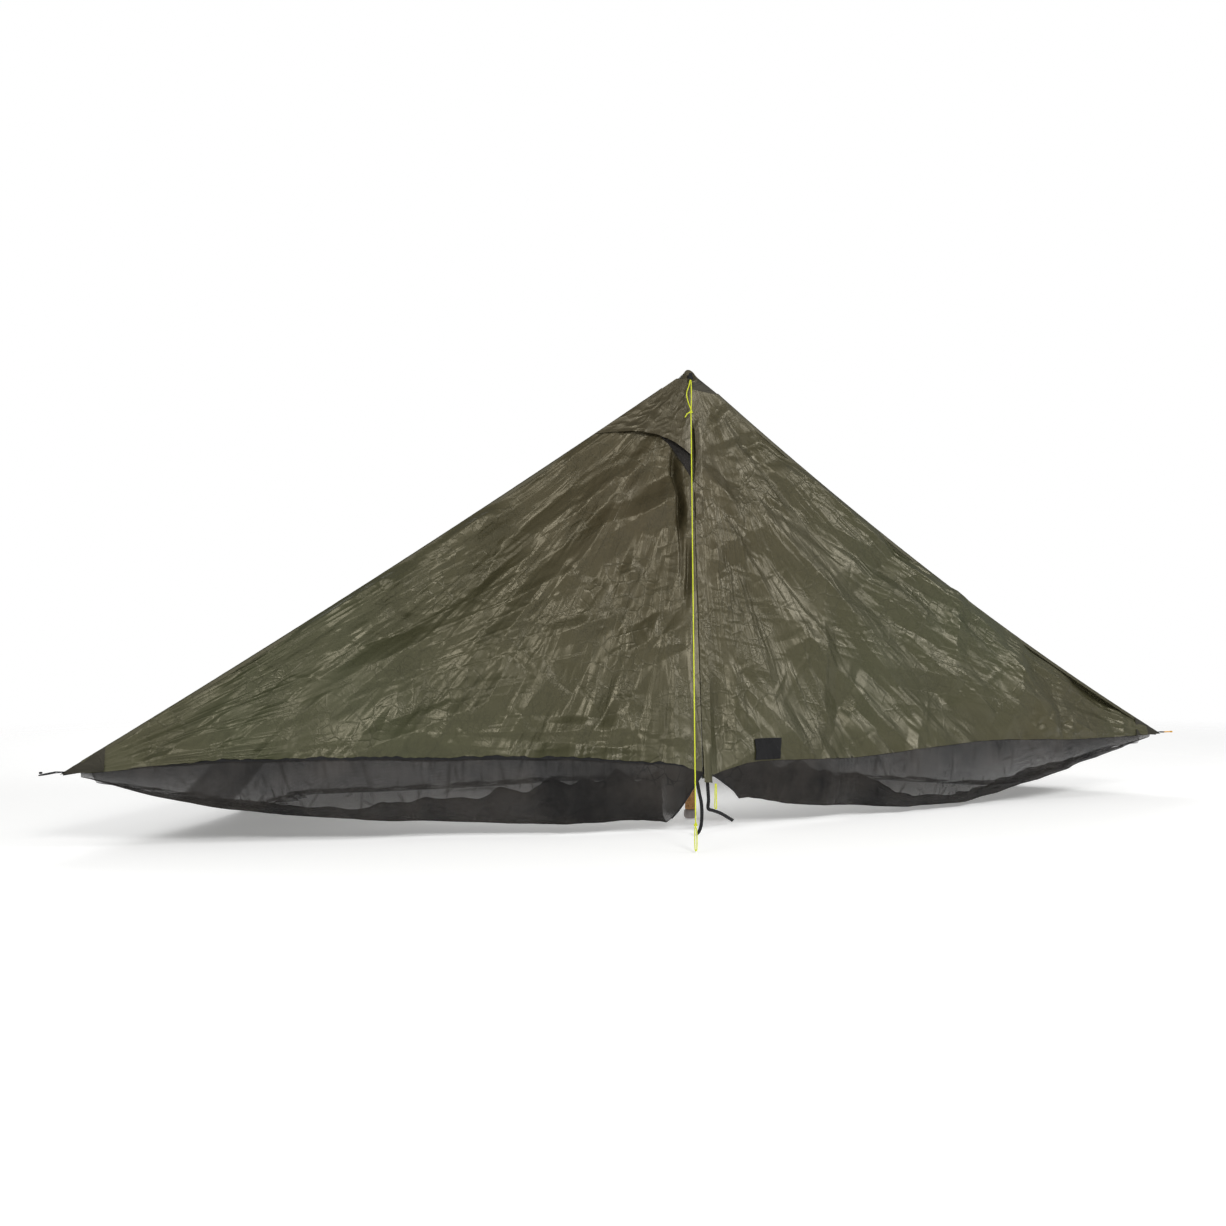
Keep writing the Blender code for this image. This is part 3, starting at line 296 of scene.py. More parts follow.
def panel_normal(first: str, second: str) -> Array:
    """The direction that the panel between two ridges faces, away from the pole."""
    normal = unit(np.cross(CORNERS[first] - PEAK, CORNERS[second] - PEAK))
    return normal if np.dot(normal, CORNERS[first] + CORNERS[second]) > 0 else -normal


def held_point(first: str, second: str, across: Array, down: Array) -> Array:
    """Points of a held panel between two ridges, with its sag inward."""
    normal = panel_normal(first, second)
    start, end = ridge(first, down), ridge(second, down)
    shift = held_hem(first, second, across) - lerp(CORNERS[first], CORNERS[second], across)
    sag = PITCH.panel_sag * arch(across) * np.sin(np.pi * down)
    return start + (end - start) * column(across) + shift * column(down**3) - normal * column(sag)


def lattice(x: Array, y: Array, seed: int) -> Array:
    """A fixed number from 0 to 1 for each cell of a whole-number lattice."""
    mixed = (x.astype(np.int64) * 374761393 + y.astype(np.int64) * 668265263 + seed * 974634777) & 0xFFFFFFFF
    mixed = ((mixed ^ (mixed >> 13)) * 1274126177) & 0xFFFFFFFF
    return ((mixed ^ (mixed >> 16)) & 0xFFFF) / 65535.0


def noise(x: Array, y: Array, seed: int) -> Array:
    """Gradient noise from about -1 to 1, with one bump per unit of x and y."""
    cell_x, cell_y = np.floor(x), np.floor(y)
    in_x, in_y = x - cell_x, y - cell_y

    def slope(step_x: int, step_y: int) -> Array:
        angle = 2.0 * np.pi * lattice(cell_x + step_x, cell_y + step_y, seed)
        return np.cos(angle) * (in_x - step_x) + np.sin(angle) * (in_y - step_y)

    ease_x = in_x**3 * (in_x * (6.0 * in_x - 15.0) + 10.0)
    ease_y = in_y**3 * (in_y * (6.0 * in_y - 15.0) + 10.0)
    near = slope(0, 0) * (1.0 - ease_x) + slope(1, 0) * ease_x
    far = slope(0, 1) * (1.0 - ease_x) + slope(1, 1) * ease_x
    return 1.4 * (near * (1.0 - ease_y) + far * ease_y)


def crease(value: Array, width: float) -> Array:
    """1 - |v| / width, no less than 0: a sharp line wherever the value passes through zero."""
    return np.maximum(0.0, 1.0 - np.abs(value) / width)


def crinkle(x: Array, y: Array, seed: int, coarse: float, fine: float, slope: float, count: int) -> Array:
    """Heights of crumpled thin cloth, in metres.

    Each wave is a row of straight creases in its own direction, a triangle wave of length 1/f and
    height slope / (2 f), bent a little and faded in and out by noise, so that creases are short.

    Args:
        x, y: places on the cloth, in metres.
        seed: picks the pattern.
        coarse, fine: waves per metre of the widest and the narrowest wave.
        slope: steepness of one wave.
        count: number of waves.
    Returns:
        The height at each place, around 0.
    """
    total = np.zeros_like(x)
    for index in range(count):
        angle = 1.7 * seed + 2.39996 * index
        waves = coarse * (fine / coarse) ** (index / (count - 1))
        bend = noise(0.25 * waves * x, 0.25 * waves * y, seed + 31 * index)
        phase = waves * (x * math.cos(angle) + y * math.sin(angle)) + 0.5 * bend
        here = noise(0.33 * waves * x + 9.0, 0.33 * waves * y, seed + 17 * index + 5)
        shown = smoothstep(-0.15, 0.55, here)
        total += (np.abs(phase - np.round(phase)) * 2.0 - 0.5) * shown * slope / waves
    return total


def any_way(pick: Array) -> Array:
    """Directions all round the circle, from numbers from 0 to 1."""
    return 57.0 * pick


@dataclass(frozen=True)
class Creases:
    """A group of straight creases: their number, half lengths, half widths and steepness."""

    count: int
    lengths: tuple[float, float]
    widths: tuple[float, float]
    slope: float

    def scatter(
        self, seed: int, size: tuple[float, float], aim: Callable[..., Array], steep: float = 1.0
    ) -> Array:
        """Scatters the creases over a cloth.

        Args:
            seed: picks the places.
            size: the cloth's extent from the peak, in metres; a negative one runs to both sides.
            aim: gives the directions from x, y and a number from 0 to 1 for each crease.
            steep: multiplies the steepness.
        Returns:
            Rows of x, y, direction, half length, half width and height.
        """
        chance = lattice(*np.meshgrid(np.arange(7.0), np.arange(float(self.count))), seed)
        x = size[0] * chance[:, 0] if size[0] > 0 else size[0] * (1.0 - 2.0 * chance[:, 0])
        y = size[1] * chance[:, 1]
        length = self.lengths[0] * (self.lengths[1] / self.lengths[0]) ** chance[:, 2]
        width = self.widths[0] * (self.widths[1] / self.widths[0]) ** chance[:, 3]
        sign = np.where(chance[:, 5] < 0.5, -1.0, 1.0)
        angle = aim(x, y, chance[:, 4]) + 0.3 * (chance[:, 6] - 0.5)
        return np.stack([x, y, angle, length, width, sign * (self.slope * steep) * width], axis=-1)


def creased(x: Array, y: Array, lines: Array) -> Array:
    """Heights of cloth folded along straight creases.

    Each crease adds height * (1 - |d| / width) * (1 - (a / length)^2)^2 where both are positive,
    with d the distance from its line and a the distance along it, so its flanks are flat facets.
    """
    total = np.zeros_like(x)
    for middle_x, middle_y, angle, length, width, height in lines:
        step_x, step_y = x - middle_x, y - middle_y
        near = step_x**2 + step_y**2 < length**2 + width**2
        along = step_x[near] * math.cos(angle) + step_y[near] * math.sin(angle)
        off = np.abs(step_y[near] * math.cos(angle) - step_x[near] * math.sin(angle))
        flank = height * np.maximum(0.0, 1.0 - off / width)
        total[near] += flank * np.maximum(0.0, 1.0 - (along / length) ** 2) ** 2
    return total


def new_object(name: str, data: bpy.types.ID) -> Thing:
    """Links a new object at the origin and returns it."""
    thing = bpy.data.objects.new(name, data)
    bpy.context.scene.collection.objects.link(thing)
    return thing


def grid_faces(rows: int, columns: int, wrap: bool) -> Array:
    """Corner numbers of the quads of a grid of points, row by row."""
    row, col = np.meshgrid(np.arange(rows - 1), np.arange(columns if wrap else columns - 1), indexing="ij")
    start, beside = row * columns + col, row * columns + (col + 1) % columns
    return np.stack([start, beside, beside + columns, start + columns], axis=-1).reshape(-1, 4)


def grid_object(
    name: str,
    points: Array,
    facing: Array | None = None,
    wrap: bool = False,
    places: Array | None = None,
    weld: bool = False,
) -> Thing:
    """A smooth-shaded mesh object through a grid of points.

    Args:
        name: object's name.
        points: array of rows x columns x 3.
        facing: a direction that the faces look along on average; None keeps their order.
        wrap: joins the last column to the first.
        places: rows x columns x 2 cloth coordinates in metres for the UV layer.
        weld: merges points that coincide, as at a pole.
    Returns:
        The object.
    """
    rows, columns = points.shape[:2]
    faces = grid_faces(rows, columns, wrap)
    flat = points.reshape(-1, 3)
    if facing is not None:
        first, second = flat[faces[:, 2]] - flat[faces[:, 0]], flat[faces[:, 3]] - flat[faces[:, 1]]
        if np.dot(np.cross(first, second).sum(axis=0), facing) < 0:
            faces = faces[:, ::-1]
    mesh = bpy.data.meshes.new(name)
    mesh.from_pydata(flat.tolist(), [], faces.tolist())
    if places is not None:
        layer = mesh.uv_layers.new(name="Cloth")
        layer.data.foreach_set("uv", places.reshape(-1, 2)[faces.reshape(-1)].reshape(-1))
    if weld:
        shape = bmesh.new()
        shape.from_mesh(mesh)
        bmesh.ops.remove_doubles(shape, verts=shape.verts, dist=1e-6)
        shape.to_mesh(mesh)
        shape.free()
    mesh.shade_smooth()
    mesh.update()
    return new_object(name, mesh)


def spread(columns: int, rows: int) -> tuple[Array, Array]:
    """Two grids of shares: across along the columns and down along the rows."""
    across, down = np.meshgrid(np.linspace(0.0, 1.0, columns + 1), np.linspace(0.0, 1.0, rows + 1))
    return across, down


def between(corners: Sequence[Array], places: Array, at: Array) -> Array:
    """Points at these places on a broken line through corners, whose own places are at."""
    return np.stack([np.interp(places, at, values) for values in np.transpose(corners)], axis=-1)


def band_places(lengths: Array, widths: Array) -> Array:
    """Cloth coordinates of a band whose rows run along it and whose columns run across it."""
    return np.stack(np.meshgrid(lengths, widths, indexing="ij"), axis=-1)


def thicken(thing: Thing, wall: float, offset: float = 0.0) -> None:
    """Gives a thin band a wall: centred on its mesh at offset 0, under its face at -1."""
    solid = thing.modifiers.new("Thickness", "SOLIDIFY")
    solid.thickness, solid.offset = wall, offset


def lathe(name: str, profile: Table, segments: int, soften: int = 0) -> Thing:
    """A shape turned about Z.

    Args:
        name: object's name.
        profile: (radius, height) points down the outer side, closed by the axis or by its first point.
        segments: faces round it.
        soften: times that the profile is corner-cut (Chaikin), which rounds its edges.
    Returns:
        The object.
    """
    outline = np.array(profile, dtype=float)
    for _ in range(soften):
        near, far = outline[:-1], outline[1:]
        cut = np.stack([near * 0.75 + far * 0.25, near * 0.25 + far * 0.75], axis=1).reshape(-1, 2)
        outline = np.concatenate([outline[:1], cut, outline[-1:]])
    turn = np.linspace(0.0, 2.0 * np.pi, segments, endpoint=False)
    radius, height = outline[:, :1], np.repeat(outline[:, 1:], segments, axis=1)
    points = np.stack([radius * np.cos(turn), radius * np.sin(turn), height], axis=-1)
    return grid_object(name, points[:, ::-1], wrap=True, weld=True)


def sweep(name: str, path: Array, radius: float, sides: int) -> Thing:
    """A closed round tube along a path.

    Args:
        name: object's name.
        path: points of its middle line.
        radius: the tube's radius.
        sides: faces round it.
    Returns:
        The object.
    """
    ahead = unit(np.gradient(path, axis=0))
    side = unit(np.cross(ahead[0], [0.3, 0.2, 0.93] if abs(ahead[0][2]) < 0.9 else [1.0, 0.1, 0.0]))
    frames = []
    for direction in ahead:
        side = unit(side - direction * np.dot(side, direction))
        frames.append((side, np.cross(direction, side)))
    turn = np.linspace(0.0, 2.0 * np.pi, sides, endpoint=False)
    rings = [
        point + radius * (np.outer(np.cos(turn), one) + np.outer(np.sin(turn), two))
        for point, (one, two) in zip(path, frames)
    ]
    rings = [np.repeat(path[:1], sides, axis=0), *rings, np.repeat(path[-1:], sides, axis=0)]
    return grid_object(name, np.array(rings), wrap=True, weld=True)


def cord_curve(name: str, path: Array, diameter: float) -> Thing:
    """A cord as a curve of one open spline, round in section."""
    curve = bpy.data.curves.new(name, "CURVE")
    curve.dimensions = "3D"
    curve.bevel_depth = diameter / 2.0
    curve.bevel_resolution = 3
    curve.use_fill_caps = True
    spline = curve.splines.new("POLY")
    spline.points.add(len(path) - 1)
    spline.points.foreach_set("co", np.concatenate([path, np.ones((len(path), 1))], axis=1).reshape(-1))
    spline.use_smooth = True
    return new_object(name, curve)


def smooth_path(points: Sequence[Array], count: int) -> Array:
    """Points on a Catmull-Rom curve through the given points, at even steps of its parameter."""
    given = np.array([np.asarray(point, dtype=float) for point in points])
    ends = np.vstack([2 * given[0] - given[1], given, 2 * given[-1] - given[-2]])
    place = np.linspace(0.0, len(given) - 1.0, count)
    leg = np.minimum(place.astype(int), len(given) - 2)
    share = column(place - leg)
    before, start, end, after = (ends[leg + step] for step in range(4))
    bend = 2 * start + (end - before) * share + (2 * before - 5 * start + 4 * end - after) * share**2
    return 0.5 * (bend + (3 * start - before - 3 * end + after) * share**3)


def webbing_band(name: str, path: Array, across: Array, length: float) -> Thing:
    """Webbing along a path, its width lying along across, with cloth coordinates for this length."""
    columns = 7
    offsets = np.linspace(-0.5, 0.5, columns) * CLOTH.webbing
    grid = path[:, None, :] + across * offsets[None, :, None]
    places = band_places(np.linspace(0.0, length, len(path)), np.linspace(0.0, CLOTH.webbing, columns))
    thing = grid_object(name, grid, places=places)
    thicken(thing, CLOTH.webbing_wall)
    return thing


def loop_path(start: Array, ahead: Array, aside: Array, steps: Table, end: float, count: int) -> Array:
    """A long loop out from start and back.

    Args:
        start: point that the loop is held at.
        ahead, aside: directions along it and across it.
        steps: distance ahead, and half the width there, of each pair of points.
        end: distance ahead of its far end.
        count: number of points.
    Returns:
        Points along the loop.
    """
    route = [start + ahead * far + aside * half for far, half in steps] + [start + ahead * end]
    route += [start + ahead * far - aside * half for far, half in steps[::-1]]
    return smooth_path(route, count)


def path_length(path: Array) -> float:
    """The length of a line of points."""
    return float(np.linalg.norm(np.diff(path, axis=0), axis=1).sum())


def linear(code: str) -> tuple[float, float, float, float]:
    """A colour written as sRGB hex, such as "5c5a48", as linear RGBA."""
    values = [int(code[start : start + 2], 16) / 255.0 for start in (0, 2, 4)]
    return (*[v / 12.92 if v <= 0.04045 else ((v + 0.055) / 1.055) ** 2.4 for v in values], 1.0)


class Shader:
    """A material's node tree, with calls that add nodes."""

    def __init__(self, name: str) -> None:
        self.material = bpy.data.materials.new(name)
        self.material.use_nodes = True
        self.tree = self.material.node_tree
        self.surface = self.tree.nodes["Principled BSDF"]
        self.where = self.add("TexCoord").outputs["Object"]

    def add(self, kind: str, inputs: dict | None = None, **settings: object) -> bpy.types.Node:
        """Adds a node, sets its options, and sets or links its inputs.

        Args:
            kind: node type after "ShaderNode", such as "Math".
            inputs: input name or number to a value or an output socket.
            **settings: the node's own options.
        Returns:
            The node.
        """
        node = self.tree.nodes.new("ShaderNode" + kind)
        for key, value in settings.items():
            setattr(node, key, value)
        for key, value in (inputs or {}).items():
            self.feed(node.inputs[key], value)
        return node

    def feed(self, socket: Socket, value: object) -> None:
        """Links an output to the socket, or sets the socket's value, where a text is a colour in hex."""
        if isinstance(value, Socket):
            self.tree.links.new(value, socket)
        else:
            socket.default_value = linear(value) if isinstance(value, str) else value

    def math(self, operation: str, first: object, second: object = 0.0) -> Socket:
        """The output of a Math node."""
        return self.add("Math", {0: first, 1: second}, operation=operation).outputs[0]

    def cloth(self) -> tuple[Socket, bpy.types.NodeSocketCollection]:
        """The cloth coordinates, whole and as a node's outputs X and Y."""
        whole = self.add("UVMap", uv_map="Cloth").outputs[0]
        return whole, self.add("SeparateXYZ", {0: whole}).outputs

    def noise(self, scale: float, detail: float, where: object = None) -> Socket:
        """The value of a Noise Texture of this many bumps per metre, over the object or over where."""
        place = self.where if where is None else where
        inputs = {"Vector": place, "Scale": scale, "Detail": detail, "Roughness": 0.55}
        return self.add("TexNoise", inputs).outputs[0]

    def cells(self, scale: float, feature: str, randomness: float = 1.0) -> bpy.types.Node:
        """A Voronoi Texture of this many cells per metre."""
        inputs = {"Vector": self.where, "Scale": scale, "Randomness": randomness}
        return self.add("TexVoronoi", inputs, feature=feature)

    def times(self, first: object, second: object) -> Socket:
        """The product of two values."""
        return self.math("MULTIPLY", first, second)

    def mix(self, share: object, first: object, second: object) -> Socket:
        """A colour between two colours."""
        node = self.add("Mix", {"Factor": share}, data_type="RGBA")
        self.feed(node.inputs["A"], first)
        self.feed(node.inputs["B"], second)
        return node.outputs["Result"]

    def ramp(self, value: object, low: float, high: float, to_low: float = 0.0, to_high: float = 1.0):
        """A value moved from one range to another and held inside it."""
        inputs = {"Value": value, "From Min": low, "From Max": high, "To Min": to_low, "To Max": to_high}
        return self.add("MapRange", inputs).outputs[0]

    def bump(self, height: object, distance: float, strength: float, under: object = None):
        """The normal of a Bump node, on top of another one's."""
        node = self.add("Bump", {"Height": height, "Distance": distance, "Strength": strength})
        if under is not None:
            self.feed(node.inputs["Normal"], under)
        return node.outputs[0]

    def finish(self, **inputs: object) -> Material:
        """Feeds the Principled shader, with "_" for a space in the input's name, and returns the material."""
        for key, value in inputs.items():
            self.feed(self.surface.inputs[key.replace("_", " ")], value)
        return self.material


@dataclass(frozen=True)
class CoatedNylon:
    """Silicone-coated ripstop nylon: crumpled, half gloss, with a grid of thicker threads and painted shade
    along its fine creases.
    """

    name: str
    colour: str = "373b28"
    warm: str = "3d3524"
    # Colour of the thicker threads, and of the painted shade along the fine creases.
    dark: str = "202216"
    grid: float = 0.006
    gloss: float = 0.38
    creases: float = 0.0007
    hood_place: tuple[float, float, float] = (-0.2, -0.3, 0.95)

    def build(self) -> Material:
        """Makes the material."""
        shader = Shader(self.name)
        cloth, axes = shader.cloth()
        broad = shader.ramp(shader.noise(1.3, 2.0), 0.36, 0.66, 0.0, 0.5)
        from_hood = shader.add("VectorMath", {0: shader.where, 1: self.hood_place}, operation="DISTANCE")
        near_hood = shader.ramp(from_hood.outputs["Value"], 0.15, 1.10, 1.0, 0.0)
        base = shader.mix(shader.math("MAXIMUM", broad, near_hood), self.colour, self.warm)
        threads = 0.0
        for axis in ("X", "Y"):
            place = shader.math("FRACT", shader.math("DIVIDE", axes[axis], self.grid))
            threads = shader.math("MAXIMUM", threads, shader.ramp(place, 0.0, 0.10, 1.0, 0.0))
        base = shader.mix(shader.times(threads, 0.12), base, self.dark)
        wide, fine = self.lines(shader, 26.0, 0.10, 6.0, 0.42), self.lines(shader, 75.0, 0.14, 11.0, 0.47)
        # Painted shade: the fine and wide crease lines darken the colour towards dark, as shade in the
        # creases would.
        drawn = shader.math("MAXIMUM", shader.times(fine, 0.35), shader.times(wide, 0.30))
        base = shader.mix(drawn, base, self.dark)
        normal = shader.bump(self.rays(shader, cloth, axes), self.creases * 0.8, 0.8)
        normal = shader.bump(wide, self.creases, 0.8, normal)
        normal = shader.bump(fine, self.creases * 0.5, 0.8, normal)
        normal = shader.bump(shader.noise(110.0, 2.0), 0.0007, 0.4, normal)
        normal = shader.bump(threads, 0.0001, 0.3, normal)
        return shader.finish(
            Base_Color=base,
            Roughness=shader.ramp(shader.noise(9.0, 2.0), 0.3, 0.7, self.gloss - 0.03, self.gloss + 0.08),
            Specular_IOR_Level=0.62,
            Specular_Tint="efe5cb",
            Normal=normal,
        )

    def lines(self, shader: Shader, scale: float, width: float, patches: float, least: float) -> Socket:
        """Fine straight creases in patches: the borders of cells, shown where a broad noise is over least."""
        cells = shader.cells(scale, "DISTANCE_TO_EDGE").outputs["Distance"]
        shown = shader.ramp(shader.noise(patches, 2.0), least, 0.60)
        return shader.times(shader.ramp(cells, 0.0, width, 1.0, 0.0), shown)

    def rays(self, shader: Shader, cloth: Socket, axes: Sequence) -> Socket:
        """Creases that fan out of the peak: they follow the angle round it and stretch along the radius."""
        angle = shader.times(shader.math("ARCTAN2", axes["X"], axes["Y"]), 17.0)
        radius = shader.add("VectorMath", {0: cloth}, operation="LENGTH").outputs["Value"]
        polar = shader.add("CombineXYZ", {0: angle, 1: shader.times(radius, 1.9)}).outputs[0]
        ray = shader.math("ABSOLUTE", shader.math("SUBTRACT", shader.noise(1.0, 1.0, polar), 0.5))
        return shader.ramp(ray, 0.0, 0.030, 1.0, 0.0)


@dataclass(frozen=True)
class Netting:
    """Fine black insect netting, with painted shade along its crumple lines; the "layers" attribute says how
    many times it lies folded, and also holds painted shade where the skirts add layers towards their top.
    """

    name: str
    colour: str = "151413"
    light: str = "2e2b28"
    # Colour of the painted shade along the crumple lines.
    fold: str = "0c0c0c"
    cover: float = 0.52
    hole: float = 0.0012

    def build(self) -> Material:
        """Makes the material: its cover is 1 - (1 - c) ** layers, with c from a knitted grid."""
        shader = Shader(self.name)
        _, axes = shader.cloth()
        layers = shader.add("Attribute", attribute_name="layers").outputs["Fac"]
        pitch = 2.0 * math.pi / self.hole
        waves = [shader.math("SINE", shader.times(axes[axis], pitch)) for axis in ("X", "Y")]
        knit = shader.ramp(shader.math("MAXIMUM", *waves), -0.2, 0.95, self.cover - 0.20, self.cover + 0.20)
        uneven = shader.ramp(shader.noise(5.0, 2.0), 0.3, 0.7, -0.03, 0.04)
        clear = shader.math("SUBTRACT", 1.0, shader.math("ADD", knit, uneven))
        cover = shader.math("SUBTRACT", 1.0, shader.math("POWER", clear, layers))
        tone = shader.mix(shader.ramp(shader.noise(7.0, 3.0), 0.35, 0.65), self.colour, self.light)
        # Painted shade: crumple lines in patches darken the tone towards fold.
        edges = shader.ramp(shader.cells(30.0, "DISTANCE_TO_EDGE").outputs["Distance"], 0.0, 0.05, 1.0, 0.0)
        folds = shader.times(edges, shader.ramp(shader.noise(9.0, 2.0), 0.50, 0.60, 0.0, 0.8))
        tone = shader.mix(folds, tone, self.fold)
        return shader.finish(Base_Color=tone, Roughness=0.8, Alpha=cover, Specular_IOR_Level=0.2)


@dataclass(frozen=True)
class WovenTape:
    """Woven nylon tape or webbing with fine ribs across it."""

    name: str
    colour: str = "141415"
    light: str = "2b2b2d"
    rib: float = 0.0012

    def build(self) -> Material:
        """Makes the material."""
        shader = Shader(self.name)
        _, axes = shader.cloth()
        slant = shader.math("ADD", axes["X"], axes["Y"])
        ribs = shader.math("SINE", shader.times(slant, 2.0 * math.pi / self.rib))
        fuzz = shader.times(shader.ramp(ribs, -1.0, 1.0), shader.noise(400.0, 2.0))
        return shader.finish(
            Base_Color=shader.mix(fuzz, self.colour, self.light),
            Roughness=0.82,
            Specular_IOR_Level=0.3,
            Normal=shader.bump(ribs, 0.0002, 0.6),
        )


@dataclass(frozen=True)
class BraidedCord:
    """Braided cord: small bright strands, with painted shade in the gaps between them."""

    name: str
    colour: str = "e3e934"
    shade: str = "a9b21d"
    strand: float = 0.0011

    def build(self) -> Material:
        """Makes the material."""
        shader = Shader(self.name)
        strands = shader.cells(1.0 / self.strand, "F1", 0.35).outputs[0]
        soiled = shader.ramp(shader.noise(35.0, 3.0), 0.45, 0.75, 0.0, 0.25)
        # Painted shade: the colour goes to shade in the gaps between the strands; soiled mixes the same
        # colour in as dirt.
        tone = shader.mix(shader.ramp(strands, 0.25, 0.75), self.colour, self.shade)
        height = shader.math("SUBTRACT", 1.0, strands)
        return shader.finish(
            Base_Color=shader.mix(soiled, tone, self.shade),
            Roughness=0.62,
            Specular_IOR_Level=0.4,
            Normal=shader.bump(height, 0.0004, 0.8),
        )


@dataclass(frozen=True)
class Moulded:
    """Moulded plastic with a fine grain."""

    name: str
    colour: str
    light: str
    gloss: float

    def build(self) -> Material:
        """Makes the material."""
        shader = Shader(self.name)
        rubbed = shader.ramp(shader.noise(90.0, 4.0), 0.45, 0.75)
        return shader.finish(
            Base_Color=shader.mix(shader.times(rubbed, 0.5), self.colour, self.light),
            Roughness=shader.ramp(rubbed, 0.0, 1.0, self.gloss, self.gloss + 0.15),
            Normal=shader.bump(shader.noise(1500.0, 2.0), 0.0001, 0.35),
        )


@dataclass(frozen=True)
class DrawnMetal:
    """Metal with fine lines along Z, as on a drawn and anodised tube."""

    name: str
    colour: str
    light: str
    gloss: float = 0.32
    metal: float = 0.9

    def build(self) -> Material:
        """Makes the material."""
        shader = Shader(self.name)
        stretched = shader.add("Mapping", {"Vector": shader.where, "Scale": (1500.0, 1500.0, 18.0)})
        inputs = {"Vector": stretched.outputs[0], "Scale": 1.0, "Detail": 2.0}
        lines = shader.add("TexNoise", inputs).outputs[0]
        worn = shader.ramp(shader.noise(60.0, 4.0), 0.5, 0.8)
        return shader.finish(
            Base_Color=shader.mix(shader.times(worn, 0.6), self.colour, self.light),
            Metallic=self.metal,
            Roughness=shader.ramp(lines, 0.3, 0.7, self.gloss - 0.06, self.gloss + 0.10),
            Normal=shader.bump(lines, 0.00005, 0.4),
        )


@dataclass(frozen=True)
class Cork:
    """Pressed cork: grains of unlike browns with dark pores."""

    name: str
    colour: str = "b98352"
    light: str = "d3a26c"
    pore: str = "6b4020"

    def build(self) -> Material:
        """Makes the material."""
        shader = Shader(self.name)
        grains = shader.cells(420.0, "F1").outputs
        pores = shader.ramp(shader.noise(330.0, 4.0), 0.60, 0.68)
        pick = shader.add("SeparateXYZ", {0: grains["Color"]}).outputs[0]
        tone = shader.mix(pores, shader.mix(pick, self.colour, self.light), self.pore)
        height = shader.math("SUBTRACT", grains[0], pores)
        return shader.finish(Base_Color=tone, Roughness=0.85, Normal=shader.bump(height, 0.0004, 0.5))


@dataclass(frozen=True)
class PaleFloor:
    """The pale studio floor, with a faint cloudiness, that runs out into the white surroundings."""

    name: str = "studio_floor"
    colour: str = "f6f6f5"
    light: str = "fafaf9"
    near: float = 2.6
    far: float = 5.0

    def build(self) -> Material:
        """Makes the material."""
        shader = Shader(self.name)
        away = shader.add("VectorMath", {0: shader.where}, operation="LENGTH").outputs["Value"]
        return shader.finish(
            Base_Color=shader.mix(shader.noise(0.8, 2.0), self.colour, self.light),
            Roughness=0.9,
            Specular_IOR_Level=0.1,
            Alpha=shader.ramp(away, self.near, self.far, 1.0, 0.0),
            Emission_Color="ffffff",
            Emission_Strength=0.20,
        )


class Finishes:
    """Every material of the tarp, each made once."""

    def __init__(self) -> None:
        self.nylon = CoatedNylon("coated_ripstop_nylon").build()
        # The hood's nylon is a darker copy of the same cloth: painted shade.
        self.hood = CoatedNylon(
            "coated_ripstop_nylon_hood_painted_shade", "333122", "383223", "221f15", creases=0.0003
        ).build()
        self.patch = CoatedNylon(
            "reinforcement_nylon", "171816", "1b1b18", "0e0f0c", gloss=0.55, creases=0.0006
        ).build()
        self.seam = CoatedNylon(
            "folded_seam_nylon", "2f3020", "322f22", "1f2014", gloss=0.5, creases=0.0003
        ).build()
        self.netting = Netting("insect_netting").build()
        self.tape = WovenTape("black_woven_tape").build()
        self.label = WovenTape("black_label_cloth", "101011", "1d1d1f", 0.0007).build()
        self.cord = BraidedCord("yellow_braided_cord").build()
        self.amber = BraidedCord("amber_braided_cord", "e8b62c", "b06a12").build()
        self.black_cord = BraidedCord("black_braided_cord", "1b1b1c", "0c0c0d").build()
        self.grommet = DrawnMetal("black_grommet_enamel", "17171a", "3c3c40", 0.36, 0.5).build()
        self.tube = DrawnMetal("anodised_pole_tube", "8b8d90", "a9abad").build()
        self.steel = DrawnMetal("steel_pin", "9c9ea0", "c4c5c6", 0.28, 1.0).build()
        self.enamel = DrawnMetal("slider_enamel", "1a1a1c", "55555a", 0.35, 0.7).build()
        self.cork = Cork("pressed_cork").build()
        self.cap = Moulded("grey_grip_cap_plastic", "9b9390", "b4adaa", 0.55).build()
        self.tip = Moulded("pale_tip_plastic", "b9b7b0", "d2d0ca", 0.45).build()
        self.clamp = Moulded("black_clamp_plastic", "161617", "303032", 0.42).build()
        self.lever = Moulded("grey_lever_plastic", "6d6f72", "8c8e91", 0.38).build()


class SubAssembly:
    """A part of the tarp that makes its pieces, most of them on one body."""

    count = 0

    def __init__(self, finishes: Finishes, body: Body = Body.CANOPY) -> None:
        self.finishes, self.body = finishes, body

    def add(self, thing: Thing, finish: Material, *nodes: str, body: Body | None = None) -> None:
        """Gives a piece its finish, and makes it ride on its body and stand for its CAD nodes.

        Args:
            thing: the piece.
            finish: its material.
            *nodes: names of the CAD nodes, the first of which names its slot.
            body: the body, where it isn't the sub-assembly's own.
        """
        carrier = (self.body if body is None else body).value
        thing.data.materials.clear()
        thing.data.materials.append(finish)
        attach(thing, carrier)
        if nodes:
            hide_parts(*nodes)
        SubAssembly.count += 1
        size = len(thing.data.polygons) if thing.type == "MESH" else 0
        LOG.info("%s on %s, %d faces", thing.name, carrier, size)


